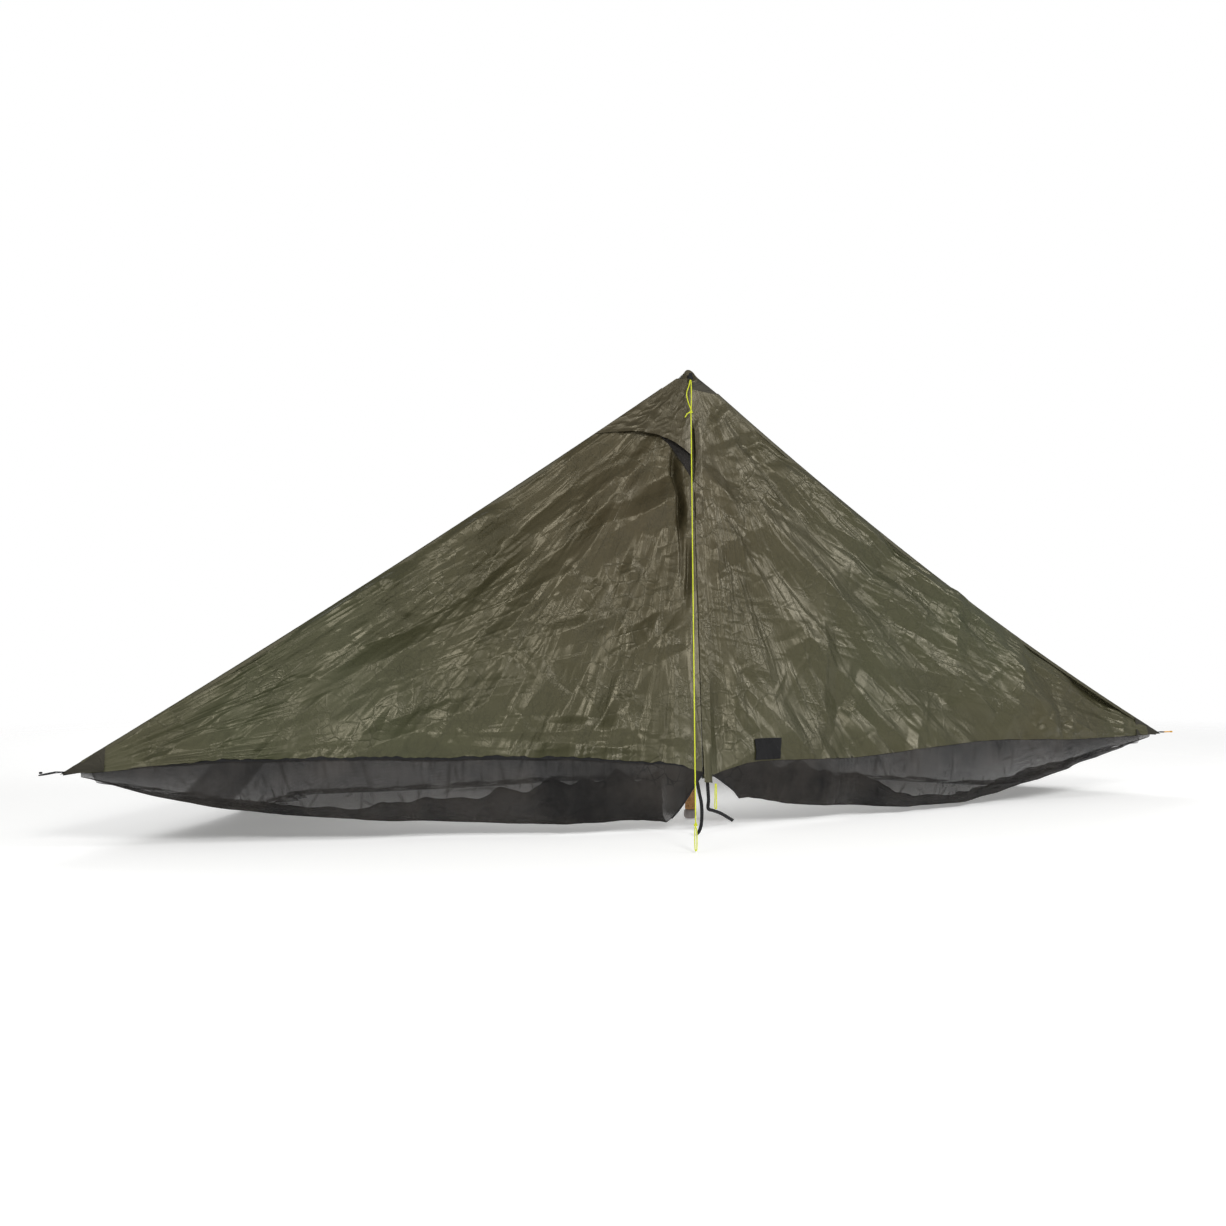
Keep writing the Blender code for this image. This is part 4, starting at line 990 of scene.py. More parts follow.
class Front:
    """The cloth between the zip line, a side ridge and the hem: the fixed cloth and the door below it."""

    SEEDS = {"left": 11, "right": 47}
    STEEPNESS = {"left": 1.4, "right": 1.1}
    CREASES = (
        Creases(110, (0.18, 0.52), (0.030, 0.080), 0.20),
        Creases(240, (0.08, 0.26), (0.012, 0.028), 0.12),
        Creases(700, (0.025, 0.13), (0.0065, 0.012), 0.17),
    )
    # How far down from the peak the creases fan out from.
    FAN_START = {"left": 0.06, "right": 0.24}
    # Each deep fold's distance from the zip, upper and lower end, depth and width.
    ZIP_FOLDS = {
        "left": (
            (0.043, 0.265, 0.395, 0.042, 0.012),
            (0.030, 0.520, 0.620, 0.018, 0.009),
            (0.050, 0.400, 0.560, 0.011, 0.007),
        ),
        "right": (),
    }

    def __init__(self, side: str) -> None:
        self.side = side
        self.corner = CORNERS[side]
        normal = unit(np.cross(self.corner - ZIP_TOP, ZIP_FOOT - ZIP_TOP))
        self.normal = normal if normal[1] < 0 else -normal
        along = self.corner - ZIP_FOOT
        self.along = unit(along - ZIP_UP * np.dot(along, ZIP_UP))
        self.reach = float(np.linalg.norm(self.corner - ZIP_FOOT))
        self.seed = self.SEEDS[side]
        size = (self.reach, float(np.linalg.norm(PEAK - ZIP_FOOT)))
        self.creases = np.concatenate([
            group.scatter(self.seed + 60 + step, size, self.aim, self.STEEPNESS[side])
            for step, group in enumerate(self.CREASES)
        ])

    def aim(self, x: Array, y: Array, pick: Array) -> Array:
        """Directions of creases: fanning out of the zip's upper end, pulled to the corner, or any."""
        corner = self.places(self.corner)
        fan = np.arctan2(y - self.FAN_START[self.side], x)
        pulled = np.arctan2(corner[1] - y, corner[0] - x) if self.side == "left" else 0.75
        return np.where(pick < 0.50, fan, np.where(pick < 0.72, pulled, any_way(pick)))

    def places(self, points: Array) -> Array:
        """Cloth coordinates in metres: away from the zip, and down along it from the peak."""
        away = points - PEAK
        return np.stack([away @ self.along, away @ -ZIP_UP], axis=-1)

    def sheet(self, name: str, points: Array) -> Thing:
        """Cloth through these points that faces outward."""
        return grid_object(name, points, self.normal, places=self.places(points))

    def fold_line(self, share: Array) -> Array:
        """Points of the line that the door hangs from."""
        return lerp(ZIP_TOP, self.corner, share)

    def hem(self, share: Array) -> Array:
        """Points of the door's hem."""
        low, high = lerp(ZIP_FOOT, self.corner, share), self.fold_line(share)
        rise = (table_line(HEMS[self.side], share) - low[..., 2]) / (high[..., 2] - low[..., 2])
        return low + (high - low) * column(rise)

    def relief(self, points: Array) -> Array:
        """How far the cloth stands out of its flat plane at these points, in metres.

        Long creases run out of the peak and the side corner, which pull the cloth: sharp lines
        where noise of the angle there is zero. Crumples lie on top. All of it fades at the zip,
        where the tapes hold the cloth, and at the corner.
        """
        place = self.places(points)
        away, down = place[..., 0], place[..., 1]
        radius, angle = np.hypot(away, down), np.arctan2(away, np.maximum(down, 1e-4))
        corner = self.places(self.corner)
        back, rise = corner[0] - away, corner[1] - down
        far, tilt = np.hypot(back, rise), np.arctan2(rise, np.maximum(back, 1e-4))
        broad = noise(7.0 * angle + 3.0, 1.3 * radius, self.seed)
        broad += 0.5 * noise(3.0 * away, 3.5 * down, self.seed + 1)
        pull = noise(14.0 * tilt, 1.1 * far, self.seed + 2)
        rays = crease(noise(17.0 * angle, 1.6 * radius, self.seed + 3), 0.16)
        rays += 0.7 * crease(noise(34.0 * angle + 5.0, 2.4 * radius, self.seed + 4), 0.22)
        rays += 0.8 * crease(noise(26.0 * tilt, 1.5 * far, self.seed + 6), 0.16)
        shown = smoothstep(-0.2, 0.5, noise(2.4 * away, 2.4 * down, self.seed + 7))
        near_zip, near_corner = smoothstep(0.004, 0.08, away), smoothstep(0.03, 0.30, far)
        height = RELIEF.swell * broad * smoothstep(0.02, 0.4, radius) * near_corner
        height += RELIEF.pull * pull * near_corner
        height += RELIEF.ray * rays * shown * smoothstep(0.05, 0.3, radius) * near_corner
        height += creased(away, down, self.creases) * smoothstep(0.05, 0.22, far)
        return height * near_zip + self.roll(away, down, far) + self.zip_folds(away, down)

    def roll(self, away: Array, down: Array, far: Array) -> Array:
        """The long crease that runs beside the ridge, where the cloth turns over towards the back."""
        top = self.places(ridge(self.side, np.linspace(0.0, 1.0, 60)))
        under = down - np.interp(away, top[:, 0], top[:, 1])
        share = np.clip(away / self.places(self.corner)[0], 0.0, 1.0)
        if self.side == "left":
            width = 0.055 + 0.012 * noise(share * 7.0, share * 0.0, 77)
            shown = smoothstep(0.16, 0.28, share) * (1.0 - smoothstep(0.60, 0.75, share))
        else:
            width = 0.014 + 0.040 * np.sin(np.pi * np.clip((share - 0.22) / 0.80, 0.0, 1.0)) ** 0.8
            shown = smoothstep(0.28, 0.45, share) * (1.0 - smoothstep(0.93, 1.0, share))
        step = under / width
        shape = np.where(step < 1.0, np.clip(step, 0.0, 1.0), np.exp(-np.maximum(under - width, 0.0) / 0.020))
        bands = RELIEF.band * noise(share * 2.2, under * 13.0, 78) * (1.0 - smoothstep(0.20, 0.45, under))
        return RELIEF.roll * shown * shape + (bands if self.side == "left" else 0.0)

    def zip_folds(self, away: Array, down: Array) -> Array:
        """Deep soft folds of the left door beside the zip's top end."""
        total = np.zeros_like(away)
        for middle, high, low, depth, width in self.ZIP_FOLDS[self.side]:
            swing = middle + 0.012 * np.sin(9.0 * down)
            along = smoothstep(high - 0.05, high + 0.02, down) * (1.0 - smoothstep(low, low + 0.09, down))
            total -= depth * along * np.exp(-(((away - swing) / width) ** 2))
        return total

    def folds(self, share: Array, down: Array) -> Array:
        """The CAD door's main folds, which fan out of the zip's top end."""
        fan = np.arctan2(down * (1.0 - share), 1.9 * (share + 0.03)) / (np.pi / 2.0)
        fade = np.sin(np.pi * down) * np.sqrt(np.maximum(arch(np.minimum(share, 1.0)), 0.0))
        return RELIEF.fold * fade * np.sin(6.0 * np.pi * fan)

    def dressed(self, points: Array, lift: float = 0.0) -> Array:
        """The points moved out of the plane by the relief and a lift."""
        return points + self.normal * column(self.relief(points) + lift)

    def door(self, share: Array, down: Array, lift: float = 0.0) -> Array:
        """Points of the door from the fold line to the hem."""
        top, foot = self.fold_line(share), self.hem(share)
        points = top + (foot - top) * column(down)
        return self.dressed(points + self.normal * column(self.folds(share, down)), lift)


FRONTS = {side: Front(side) for side in ("left", "right")}


class Canopy(SubAssembly):
    """The cloth that is held at the peak and the five corners, with its vent, patches and skirts."""

    SHELL_SWELL = 0.006
    SHELL_RAY = 0.0026
    SHELL_CREASES = (
        Creases(60, (0.10, 0.34), (0.035, 0.080), 0.12),
        Creases(260, (0.05, 0.16), (0.020, 0.035), 0.15),
    )
    FLAP_TOP = 0.083
    PANELS = {
        "left_end": ("left", "rear_left"),
        "rear_left": ("rear_left", "rear_mid"),
        "rear_right": ("rear_mid", "rear_right"),
        "right_end": ("rear_right", "right"),
    }
    EYELET_HEIGHT = 1.234
    EYELET_TILT = math.radians(45.0)
    # Radius and height of the eyelet's section.
    EYELET = (
        (0.0090, 0.0002), (0.0086, 0.0014), (0.0070, 0.0018), (0.0054, 0.0012), (0.0050, 0.0),
        (0.0054, -0.0012), (0.0070, -0.0014), (0.0086, -0.0012), (0.0090, 0.0002),
    )

    def build(self) -> None:
        """Makes every piece that rides on the canopy, but for the guyline."""
        self.shell()
        for side in FRONTS:
            self.front(side)
        self.vent()
        self.cap()
        self.seams()
        self.hem()
        for name, (first, second) in self.PANELS.items():
            self.skirt(name, first, second)
        for index, corner in enumerate(ORDER):
            self.patch(index, corner)
            self.tie_out(corner)
        self.pull_outs()
        self.upper_flap()

    def shell(self) -> None:
        """One sheet over the four held panels, creased at the rear ridges and crumpled all over."""
        columns, rows = 110, 200
        grids, places = [], []
        for index in range(len(ORDER) - 1):
            across, down = spread(columns, rows)
            down = CLOTH.cap_share + (1.0 - CLOTH.cap_share) * down
            points = held_point(ORDER[index], ORDER[index + 1], across, down)
            normal = panel_normal(ORDER[index], ORDER[index + 1])
            width = np.linalg.norm(CORNERS[ORDER[index + 1]] - CORNERS[ORDER[index]])
            x, y = (across - 0.5) * width * down, down * 1.9
            edge = np.minimum(across, 1.0 - across) * width * down
            lines = [
                group.scatter(71 + 10 * step + index, (-0.6, 1.9), self.aim)
                for step, group in enumerate(self.SHELL_CREASES)
            ]
            height = creased(x, y, np.concatenate(lines))
            swell = self.SHELL_SWELL * noise(7.0 * across, 1.4 * y, 90 + index)
            height += swell * smoothstep(0.0, 0.25, edge)
            rays = crease(noise(13.0 * across, 1.7 * y, 95 + index), 0.16)
            height += self.SHELL_RAY * rays * smoothstep(0.0, 0.2, edge)
            held = smoothstep(0.0, 0.03, edge) * (1.0 - smoothstep(0.955, 0.995, down))
            grids.append(points + normal * column(height * held))
            places.append(np.stack([x, y], axis=-1))
        points, cloth = (
            np.concatenate([panels[0], *(panel[:, 1:] for panel in panels[1:])], axis=1)
            for panels in (grids, places)
        )
        thing = grid_object("canopy_cloth", points, UP, places=cloth)
        self.add(thing, self.finishes.nylon, *(f"{name}_panel" for name in self.PANELS))

    @staticmethod
    def aim(x: Array, y: Array, pick: Array) -> Array:
        """Directions of creases: out of the peak, along the hem, or any."""
        return np.where(pick < 0.5, np.arctan2(y, x), np.where(pick < 0.65, 0.0, any_way(pick)))

    def front(self, side: str) -> None:
        """The fixed cloth between a side ridge and the door's fold line.

        On the left its upper end bows up under the vent's hood. On the right it reaches the zip,
        so its first columns run from the peak cap's edge.
        """
        front = FRONTS[side]
        across, down = spread(330, 70)
        last = 1.0 - CLOTH.patch_share * 0.5
        if side == "left":
            top = ridge(side, CLOTH.vent_share + (last - CLOTH.vent_share) * across)
        else:
            bend, high = 0.075, CLOTH.cap_share
            start = zip_line(ridge_height(high))
            beside = lerp(start, ridge(side, high), np.minimum(across / bend, 1.0))
            along = ridge(side, high + (last - high) * np.clip((across - bend) / (1.0 - bend), 0.0, 1.0))
            top = np.where(column(across < bend), beside, along)
        foot = front.fold_line(last * across)
        points = top + (foot - top) * column(down)
        if side == "left":
            points = points + self.vent_foot(down) * column(np.maximum(0.0, 1.0 - 3.0 * across) ** 2)
        fade = column(smoothstep(0.0, 0.12, down) * 0.9 + 0.1 * smoothstep(0.0, 0.02, down))
        dressed = points + (front.dressed(points) - points) * fade
        thing = front.sheet(f"{side}_front_cloth", dressed)
        self.add(thing, self.finishes.nylon, f"{side}_upper_front_panel")

    def vent_foot(self, share: Array) -> Array:
        """How far the cloth under the vent rises towards the peak, between the ridge and the zip."""
        middle = lerp(ridge("left", CLOTH.vent_share), ZIP_TOP, 0.5)
        return unit(PEAK - middle) * column(CLOTH.vent_bow * arch(share**0.8))

    def vent(self) -> None:
        """The vent's netting and the hood that stands off it, softly folded and hemmed along its arc."""
        front = FRONTS["left"]
        top_height = ridge_height(CLOTH.cap_share)
        across, down = spread(40, 50)
        outer = ridge("left", CLOTH.cap_share + (CLOTH.vent_share - CLOTH.cap_share) * down)
        inner = zip_line(top_height + (PITCH.zip_top - top_height) * down)
        points = outer + (inner - outer) * column(across) + self.vent_foot(across) * column(down)
        points = points - front.normal * 0.0012
        thing = front.sheet("vent_mesh", points)
        add_layers(thing, np.full(across.shape, 4.0))
        self.add(thing, self.finishes.netting, "vent_netting")
        across, down = spread(120, 90)
        points = self.hood_points(across, down * (1.0 - CLOTH.hood_arc * arch(across)))
        thing = front.sheet("vent_hood_cloth", points)
        self.add(thing, self.finishes.hood, "vent_hood")
        edge = np.linspace(0.0, 1.0, 121)
        rim = np.stack([self.hood_points(edge, (1.0 - CLOTH.hood_arc * arch(edge)) * share, 0.0007)
                        for share in (0.955, 1.0)])
        self.add(front.sheet("vent_hood_hem", rim), self.finishes.hood)

    def hood_points(self, across: Array, down: Array, lift: float = 0.0) -> Array:
        """Points of the hood, from the grommet down to its arc.

        It stands 2 mm off the vent at its ends and CLOTH.hood_lift in the middle of its free edge,
        with soft folds that run down from the peak and a few across them.
        """
        front, top_height = FRONTS["left"], ridge_height(CLOTH.hood_top)
        outer = ridge("left", CLOTH.hood_top + (CLOTH.hood_share - CLOTH.hood_top) * down)
        inner = zip_line(top_height + (CLOTH.hood_foot - top_height) * down)
        stand = 0.0026 + lift + CLOTH.hood_lift * arch(across) * (0.3 + 0.9 * across) * down**1.5
        folds = 0.0048 * noise(4.0 * across + 1.0, 1.6 * down, 5)
        folds += 0.0022 * noise(9.0 * across, 3.5 * down + 2.0, 6)
        folds += 0.0016 * crease(noise(7.0 * across + 3.0 * down, 5.0 * down, 7), 0.25)
        folds += crinkle(across * 0.25, down * 0.28, 8, 10.0, 45.0, 0.035, 8)
        folds = folds * np.sqrt(np.maximum(arch(across), 0.0)) * smoothstep(0.0, 0.35, down)
        return outer + (inner - outer) * column(across) + front.normal * column(stand + folds)

    def cap(self) -> None:
        """The dark reinforcement over the peak, rounded at its crest, and the grommet in its front."""
        height, tilt, rim_radius = self.EYELET_HEIGHT, self.EYELET_TILT, 0.0088
        share = CLOTH.cap_share + 0.002
        front = zip_line(ridge_height(share))
        corners = [front, *(ridge(name, share) for name in ORDER), front]
        bearings = np.unwrap([math.atan2(point[0], point[1]) for point in corners])
        bearings[0], bearings[-1] = bearings[1:-1].mean() - math.pi, bearings[1:-1].mean() + math.pi
        columns, rows, crown_rows = 144, 44, 17
        across, down = spread(columns, rows)
        bearing = bearings[0] + (bearings[-1] - bearings[0]) * across
        low = between(corners, bearing, bearings)
        sine, cosine = np.sin(bearing), np.cos(bearing)
        centre = np.array([0.0, 0.0, height])
        ring = np.stack([sine, cosine * math.cos(tilt), cosine * math.sin(tilt)], axis=-1)
        rim = centre + rim_radius * ring
        rise = PITCH.peak - height - 0.005
        crest = centre + np.stack([0.016 * sine, 0.012 * cosine, 0.005 + rise * cosine], axis=-1)
        bend = column(down)
        crown = rim + (crest - rim) * smoothstep(0.0, 0.3, bend)
        points = np.where(bend < 0.3, crown, crest + (low - crest) * (bend - 0.3) / 0.7)
        places = np.stack([across * 0.4, down * 0.1], axis=-1)
        thing = grid_object("peak_cap_cloth", points[:, :-1], UP, wrap=True, places=places[:, :-1])
        self.add(thing, self.finishes.patch, "peak_cap")
        # The crown takes the hood's darker copy of the nylon, which is painted shade.
        thing.data.materials.append(self.finishes.hood)
        thing.data.polygons.foreach_set("material_index", np.arange(rows * columns) < crown_rows * columns)
        eyelet = lathe("peak_eyelet", self.EYELET, 48, 1)
        eyelet.data.transform(Matrix.Translation((0.0, 0.0, height)) @ Matrix.Rotation(tilt, 4, "X"))
        self.add(eyelet, self.finishes.grommet, "peak_grommet")

    def seams(self) -> None:
        """Folded seams, a centimetre wide, over the ridges."""
        for name in ORDER:
            share = np.linspace(CLOTH.cap_share, 1.0 - CLOTH.patch_share * 0.5, 160)
            path = ridge(name, share)
            offsets = np.linspace(-0.5, 0.5, 7)
            bead = 0.0009 * (1.0 + 0.4 * noise(260.0 * share, 0.0 * share, 3))
            slopes = self.slopes(name)
            points = []
            for offset in offsets:
                fall = slopes[0] if offset < 0 else slopes[1]
                point = path + fall * abs(offset) * CLOTH.seam * 1.6
                points.append(point + UP * column(bead + 0.0012 * (1 - abs(2 * offset))))
            places = band_places(share * 1.99, offsets * CLOTH.seam)
            band = np.stack(points, axis=1)
            self.add(grid_object(f"{name}_ridge_seam", band, UP, places=places), self.finishes.seam)

    def slopes(self, name: str) -> tuple[Array, Array]:
        """The directions in which the cloth falls away from a ridge, to its left and its right."""
        line = unit(CORNERS[name] - PEAK)
        index = ORDER.index(name)
        before = CORNERS[ORDER[index - 1]] if index else ZIP_FOOT
        after = CORNERS[ORDER[index + 1]] if index < len(ORDER) - 1 else ZIP_FOOT
        falls = []
        for other in (before, after):
            away = other - PEAK
            falls.append(unit(away - line * np.dot(away, line)))
        return falls[0], falls[1]

    def hem(self) -> None:
        """The tape along the held panels' lower edge."""
        place = np.linspace(0.012, len(ORDER) - 1.012, 420)
        leg = np.minimum(place.astype(int), len(ORDER) - 2)
        rows = []
        for drop in (-0.004, 0.003, 0.008, 0.0155):
            line = np.array([held_hem(ORDER[i], ORDER[i + 1], p - i) for i, p in zip(leg, place)])
            line[:, 2] -= drop * np.clip(0.2 + 5.0 * np.minimum(place, len(ORDER) - 1 - place), 0.2, 1.0)
            pucker = 0.0006 * noise(place * 40.0, np.full_like(place, drop * 200.0), 8)
            rows.append(line + unit(line * LEVEL) * column(pucker + 0.0012))
        places = band_places(place * 1.2, np.array([0.0, 0.004, 0.008, 0.015])).swapaxes(0, 1)
        thing = grid_object("perimeter_hem_band", np.array(rows), places=places)
        outward_faces(thing)
        self.add(thing, self.finishes.tape, "perimeter_hem_tape")

    def skirt(self, name: str, first: str, second: str) -> None:
        """The netting below a held panel."""
        across, down = spread(300, 46)
        width = float(np.linalg.norm(CORNERS[second] - CORNERS[first]))
        overlap = 0.005 / width
        start = 0.10 if first == "left" else -overlap
        place = start + ((0.95 if second == "right" else 1.0 + overlap) - start) * across
        inside = np.clip(place, 0.002, 0.998)
        top = held_hem(first, second, inside) + (CORNERS[second] - CORNERS[first]) * column(place - inside)
        top[..., 2] -= CLOTH.net_seam
        out = unit((top - np.array([0.0, PITCH.rear_mid * 0.4, 0.0])) * LEVEL)
        low = np.full(place.shape, 0.0005)
        if first == "left":
            low = np.maximum(low, table_line(END_NETS["left"], place))
        if second == "right":
            low = np.maximum(low, table_line(END_NETS["right"], 1.0 - place))
        low = np.minimum(low, top[..., 2] - CLOTH.net_least)
        along = unit(CORNERS[second] - CORNERS[first])
        points, layers = hang_net(top, out, along, low, across, down, len(name))
        places = np.stack([across * width, down * 0.26], axis=-1)
        thing = grid_object(f"{name}_mesh_skirt", points, places=places)
        add_layers(thing, layers)
        outward_faces(thing)
        self.add(thing, self.finishes.netting, f"{name}_netting")

    def patch(self, index: int, corner: str) -> None:
        """A reinforcement patch over a corner; its webbing loop is made with the tie-out."""
        share = 1.0 - CLOTH.patch_share
        inner = []
        if index > 0:
            inner.append(held_hem(ORDER[index - 1], corner, share))
        else:
            inner += [FRONTS["left"].hem(share), FRONTS["left"].fold_line(share)]
        inner.append(ridge(corner, share))
        if index < len(ORDER) - 1:
            inner.append(held_hem(corner, ORDER[index + 1], 1.0 - share))
        else:
            inner += [FRONTS["right"].fold_line(share), FRONTS["right"].hem(share)]
        across, down = spread(48, 26)
        line = np.linspace(0.0, 1.0, len(inner))
        edge = between(inner, across, line)
        points = edge + (CORNERS[corner] - edge) * column(-0.05 + 0.98 * down)
        lift = 0.0012 + 0.0012 * noise(9.0 * across, 5.0 * down, 60 + index) * arch(down)
        square = unit(np.cross(unit(CORNERS[corner] * LEVEL), UP))
        spreads = unit(square * column(((points - edge.mean(axis=(0, 1))) @ square) / 0.05) + UP)
        points = points + spreads * column(lift)
        places = np.stack([across * 0.12, down * 0.11], axis=-1)
        thing = grid_object(f"{corner}_corner_patch", points, UP, places=places)
        self.add(thing, self.finishes.patch, f"{corner}_patch")

    def tie_out(self, corner: str) -> None:
        """The webbing loop at a corner and the knotted loop of cord through it."""
        place = CORNERS[corner]
        out = unit(place * LEVEL)
        side = unit(np.cross(out, UP))
        share = 1.0 - CLOTH.patch_share
        start = ridge(corner, share) + (place - ridge(corner, share)) * 0.93 - out * 0.004 + UP * 0.0025
        turn = np.linspace(0.0, 2.0 * np.pi, 60)
        open_end = np.sin(turn) * (0.3 + 0.7 * (0.5 - 0.5 * np.cos(turn)) ** 2)
        ring = start + out * column(0.0120 - 0.0120 * np.cos(turn)) + UP * column(0.0022 * open_end)
        self.add(webbing_band(f"{corner}_webbing", ring, side, path_length(ring)), self.finishes.tape)
        looks = {"left": self.finishes.black_cord, "right": self.finishes.amber}
        finish = looks.get(corner, self.finishes.cord)
        begin = start + out * 0.0190
        half, length = (0.0012 if corner == "left" else 0.0056), 0.0385
        wide = UP if corner == "left" else side
        steps = ((0.0, 0.0012), (0.004, half * 0.9), (0.018, half), (length - 0.006, half * 0.55))
        path = loop_path(begin, out, wide, steps, length, 64)
        if corner == "left":
            path[:, 2] -= 0.006 * np.clip((path - begin) @ out / length, 0.0, 1.0)
        loop = cord_curve(f"{corner}_guy_loop", path, CORDS.loop)
        self.add(loop, finish, f"{corner}_cord_loop")
        tie = knot_object(f"{corner}_loop_knot", begin + out * (length - 0.004), out, side, CORDS.loop_knot)
        self.add(tie, finish)

    def pull_outs(self) -> None:
        """The two small tabs on the end panels."""
        size = 0.024
        for name in FRONTS:
            first, second = self.PANELS[f"{name}_end"]
            normal = panel_normal(first, second)
            centre = held_point(first, second, 0.5, 0.42)
            lower = unit(held_point(first, second, 0.5, 0.43) - centre)
            side = np.cross(normal, lower)
            across, down = spread(16, 30)
            width = size * (1.0 - 0.4 * down)
            points = centre + normal * column(0.0010 + size * down) + side * column(width * (across - 0.5))
            points = points + lower * column(0.002 * np.sin(np.pi * down))
            places = np.stack([across * size, down * size], axis=-1)
            thing = grid_object(f"{name}_pull_out", points, lower, places=places)
            thicken(thing, 0.0013)
            self.add(thing, self.finishes.tape, f"{name}_pull_out_tab")

    def upper_flap(self) -> None:
        """The fixed upper end of the storm flap."""
        top, foot = ridge_height(self.FLAP_TOP), PITCH.zip_top + 0.008
        flap = flap_object("upper_flap_cloth", top, foot, (0.0, 0.018), 90, 5)
        self.add(flap, self.finishes.nylon, "upper_storm_flap")


class DoorNet:
    """The netting below a door: it hangs in folds, turns in at its lowest line and lies heaped inside it.

    The heap is a second layer that climbs back up to a share of the drop, which HEAPS gives along
    the hem. Both layers are one sheet.
    """

    COLUMNS, ROWS = 430, 90
    # Depth of the sheet, and the share of it that hangs.
    CUT = 0.30
    HANG_END = 0.52
    # Shares of the hem where the netting starts and ends, and how far its foot leans away from the zip.
    FIRST = {"left": -0.004, "right": 0.016}
    LAST = 0.970
    LEAN = {"left": 0.066, "right": 0.060}
    # Layers of the plain hanging netting, as it looks in the photograph.
    PLAIN = {"left": 1.5, "right": 1.1}
    CREASES = (
        Creases(230, (0.008, 0.045), (0.0035, 0.005), 1.0),
        Creases(70, (0.03, 0.10), (0.004, 0.006), 1.0),
    )

    def __init__(self, side: str) -> None:
        self.side, self.front = side, FRONTS[side]
        self.seed = 30 + len(side)
        across, self.down = spread(self.COLUMNS, self.ROWS)
        self.fall = np.minimum(1.0, self.down / self.HANG_END)
        self.climb = np.maximum(0.0, self.down - self.HANG_END) / (1.0 - self.HANG_END)
        first, lean = self.FIRST[side], self.LEAN[side] * self.fall * (1.0 - across) ** 6
        self.share = first + lean + (self.LAST - first - lean) * across
        self.metres = self.share * self.front.reach
        self.places = np.stack([self.metres, self.down * self.CUT], axis=-1)
        self.sway = noise(self.metres * 5.0, self.fall * 0.8, self.seed + 1)
        self.sway += 0.5 * noise(self.metres * 13.0, self.fall * 1.6, self.seed + 2)
        self.along = self.front.corner - ZIP_FOOT
        square = unit(np.array([self.along[1], -self.along[0], 0.0]))
        self.out = square if square[1] < 0 else -square

    def top(self) -> Array:
        """Points of the edge that is sewn behind the hem, which runs on a little past the zip."""
        front, held = self.front, np.maximum(self.share, 0.0)
        top = front.hem(held) + front.normal * column(front.relief(front.hem(held)) - 0.0016)
        top = top + (front.hem(held + 0.01) - front.hem(held)) * column((self.share - held) / 0.01)
        top[..., 2] += 0.004
        return top

    def points(self) -> Array:
        """Points of the sheet."""
        top, fall, climb, metres, seed = self.top(), self.fall, self.climb, self.metres, self.seed
        least = 0.011 - 0.009 * smoothstep(0.93, 0.965, self.share)
        drop = top[..., 2] - np.minimum(table_line(NETS[self.side], self.share), top[..., 2] - least)
        size = np.minimum(1.0, drop / CLOTH.net_full)
        places, heaps = zip(*HEAPS[self.side])
        heap = np.interp(self.share, places, heaps)
        heap = heap * (1.0 + 0.25 * noise(self.share * 26.0, self.share * 0.0, seed))
        belly = np.sin(np.pi * fall) * 0.012
        inward = -CLOTH.net_tuck * 0.5 * fall**1.5 - 0.030 * np.minimum(1.0, climb * 6.0) - 0.012 * climb
        crumple = crinkle(metres, climb * 0.16, seed + 3, 9.0, 45.0, 0.30, 12) * np.minimum(1.0, climb * 4.0)
        shift = size * (0.012 * self.sway * fall + belly + inward) + crumple * size
        points = top + self.out * column(shift)
        wave = 0.006 * noise(metres * 9.0, fall * 0.0, seed + 4) * fall
        points = points + unit(self.along) * column(size * 0.010 * fall * noise(metres * 8.0, fall, seed + 5))
        points[..., 2] = top[..., 2] - drop * fall + drop * heap * climb + wave * size * (climb < 1e-9)
        points[..., 2] = np.maximum(points[..., 2], 0.0012 * (1.0 + climb))
        return points

    def layers(self) -> Array:
        """How many times the netting lies folded at each point.

        The layers added under the hem, which fade down the fall, are painted shade that darkens the
        netting's upper part. More lie in the heap and at both its edges, along creases, and beside the
        zip, where the left netting's foot stays open. On the left a doubled wedge hangs too.
        """
        fall, climb, share = self.fall, self.climb, self.share
        # Painted shade: the layers that fade down from the hem darken the netting's upper part.
        layers = self.PLAIN[self.side] + 2.4 * (1.0 - fall) ** 1.2
        layers = layers + 0.15 * np.abs(self.sway) + 1.6 * (climb > 0)
        layers += 3.0 * smoothstep(0.90, 0.97, climb)
        size = (self.front.reach, self.CUT)
        lines = [
            group.scatter(self.seed + 6 + step, size, self.aim) for step, group in enumerate(self.CREASES)
        ]
        wrinkle = np.abs(creased(self.metres, self.down * self.CUT, np.concatenate(lines))) / 0.0045
        turned = smoothstep(self.HANG_END - 0.03, self.HANG_END, self.down) * (climb < 0.05)
        layers = layers + 1.5 * wrinkle + 4.0 * turned
        layers = layers + 1.4 * (1.0 - smoothstep(0.16, 0.30, share)) * smoothstep(0.05, 0.08, share)
        open_foot = smoothstep(0.72, 0.90, fall) if self.side == "left" else 0.0
        layers = layers + 5.0 * (1.0 - smoothstep(0.05, 0.08, share)) * (1.0 - open_foot)
        if self.side == "left":
            slanted = share - 0.060 * fall
            wedge = smoothstep(0.698, 0.706, slanted) * (1.0 - smoothstep(0.772, 0.782, slanted))
            layers = layers + 2.4 * wedge * (1.0 - climb)
        return layers

    @staticmethod
    def aim(x: Array, y: Array, pick: Array) -> Array:
        """Directions of the netting's creases: mostly down it, some any."""
        return np.where(pick < 0.6, 1.57 + 1.6 * (pick - 0.3), any_way(pick))


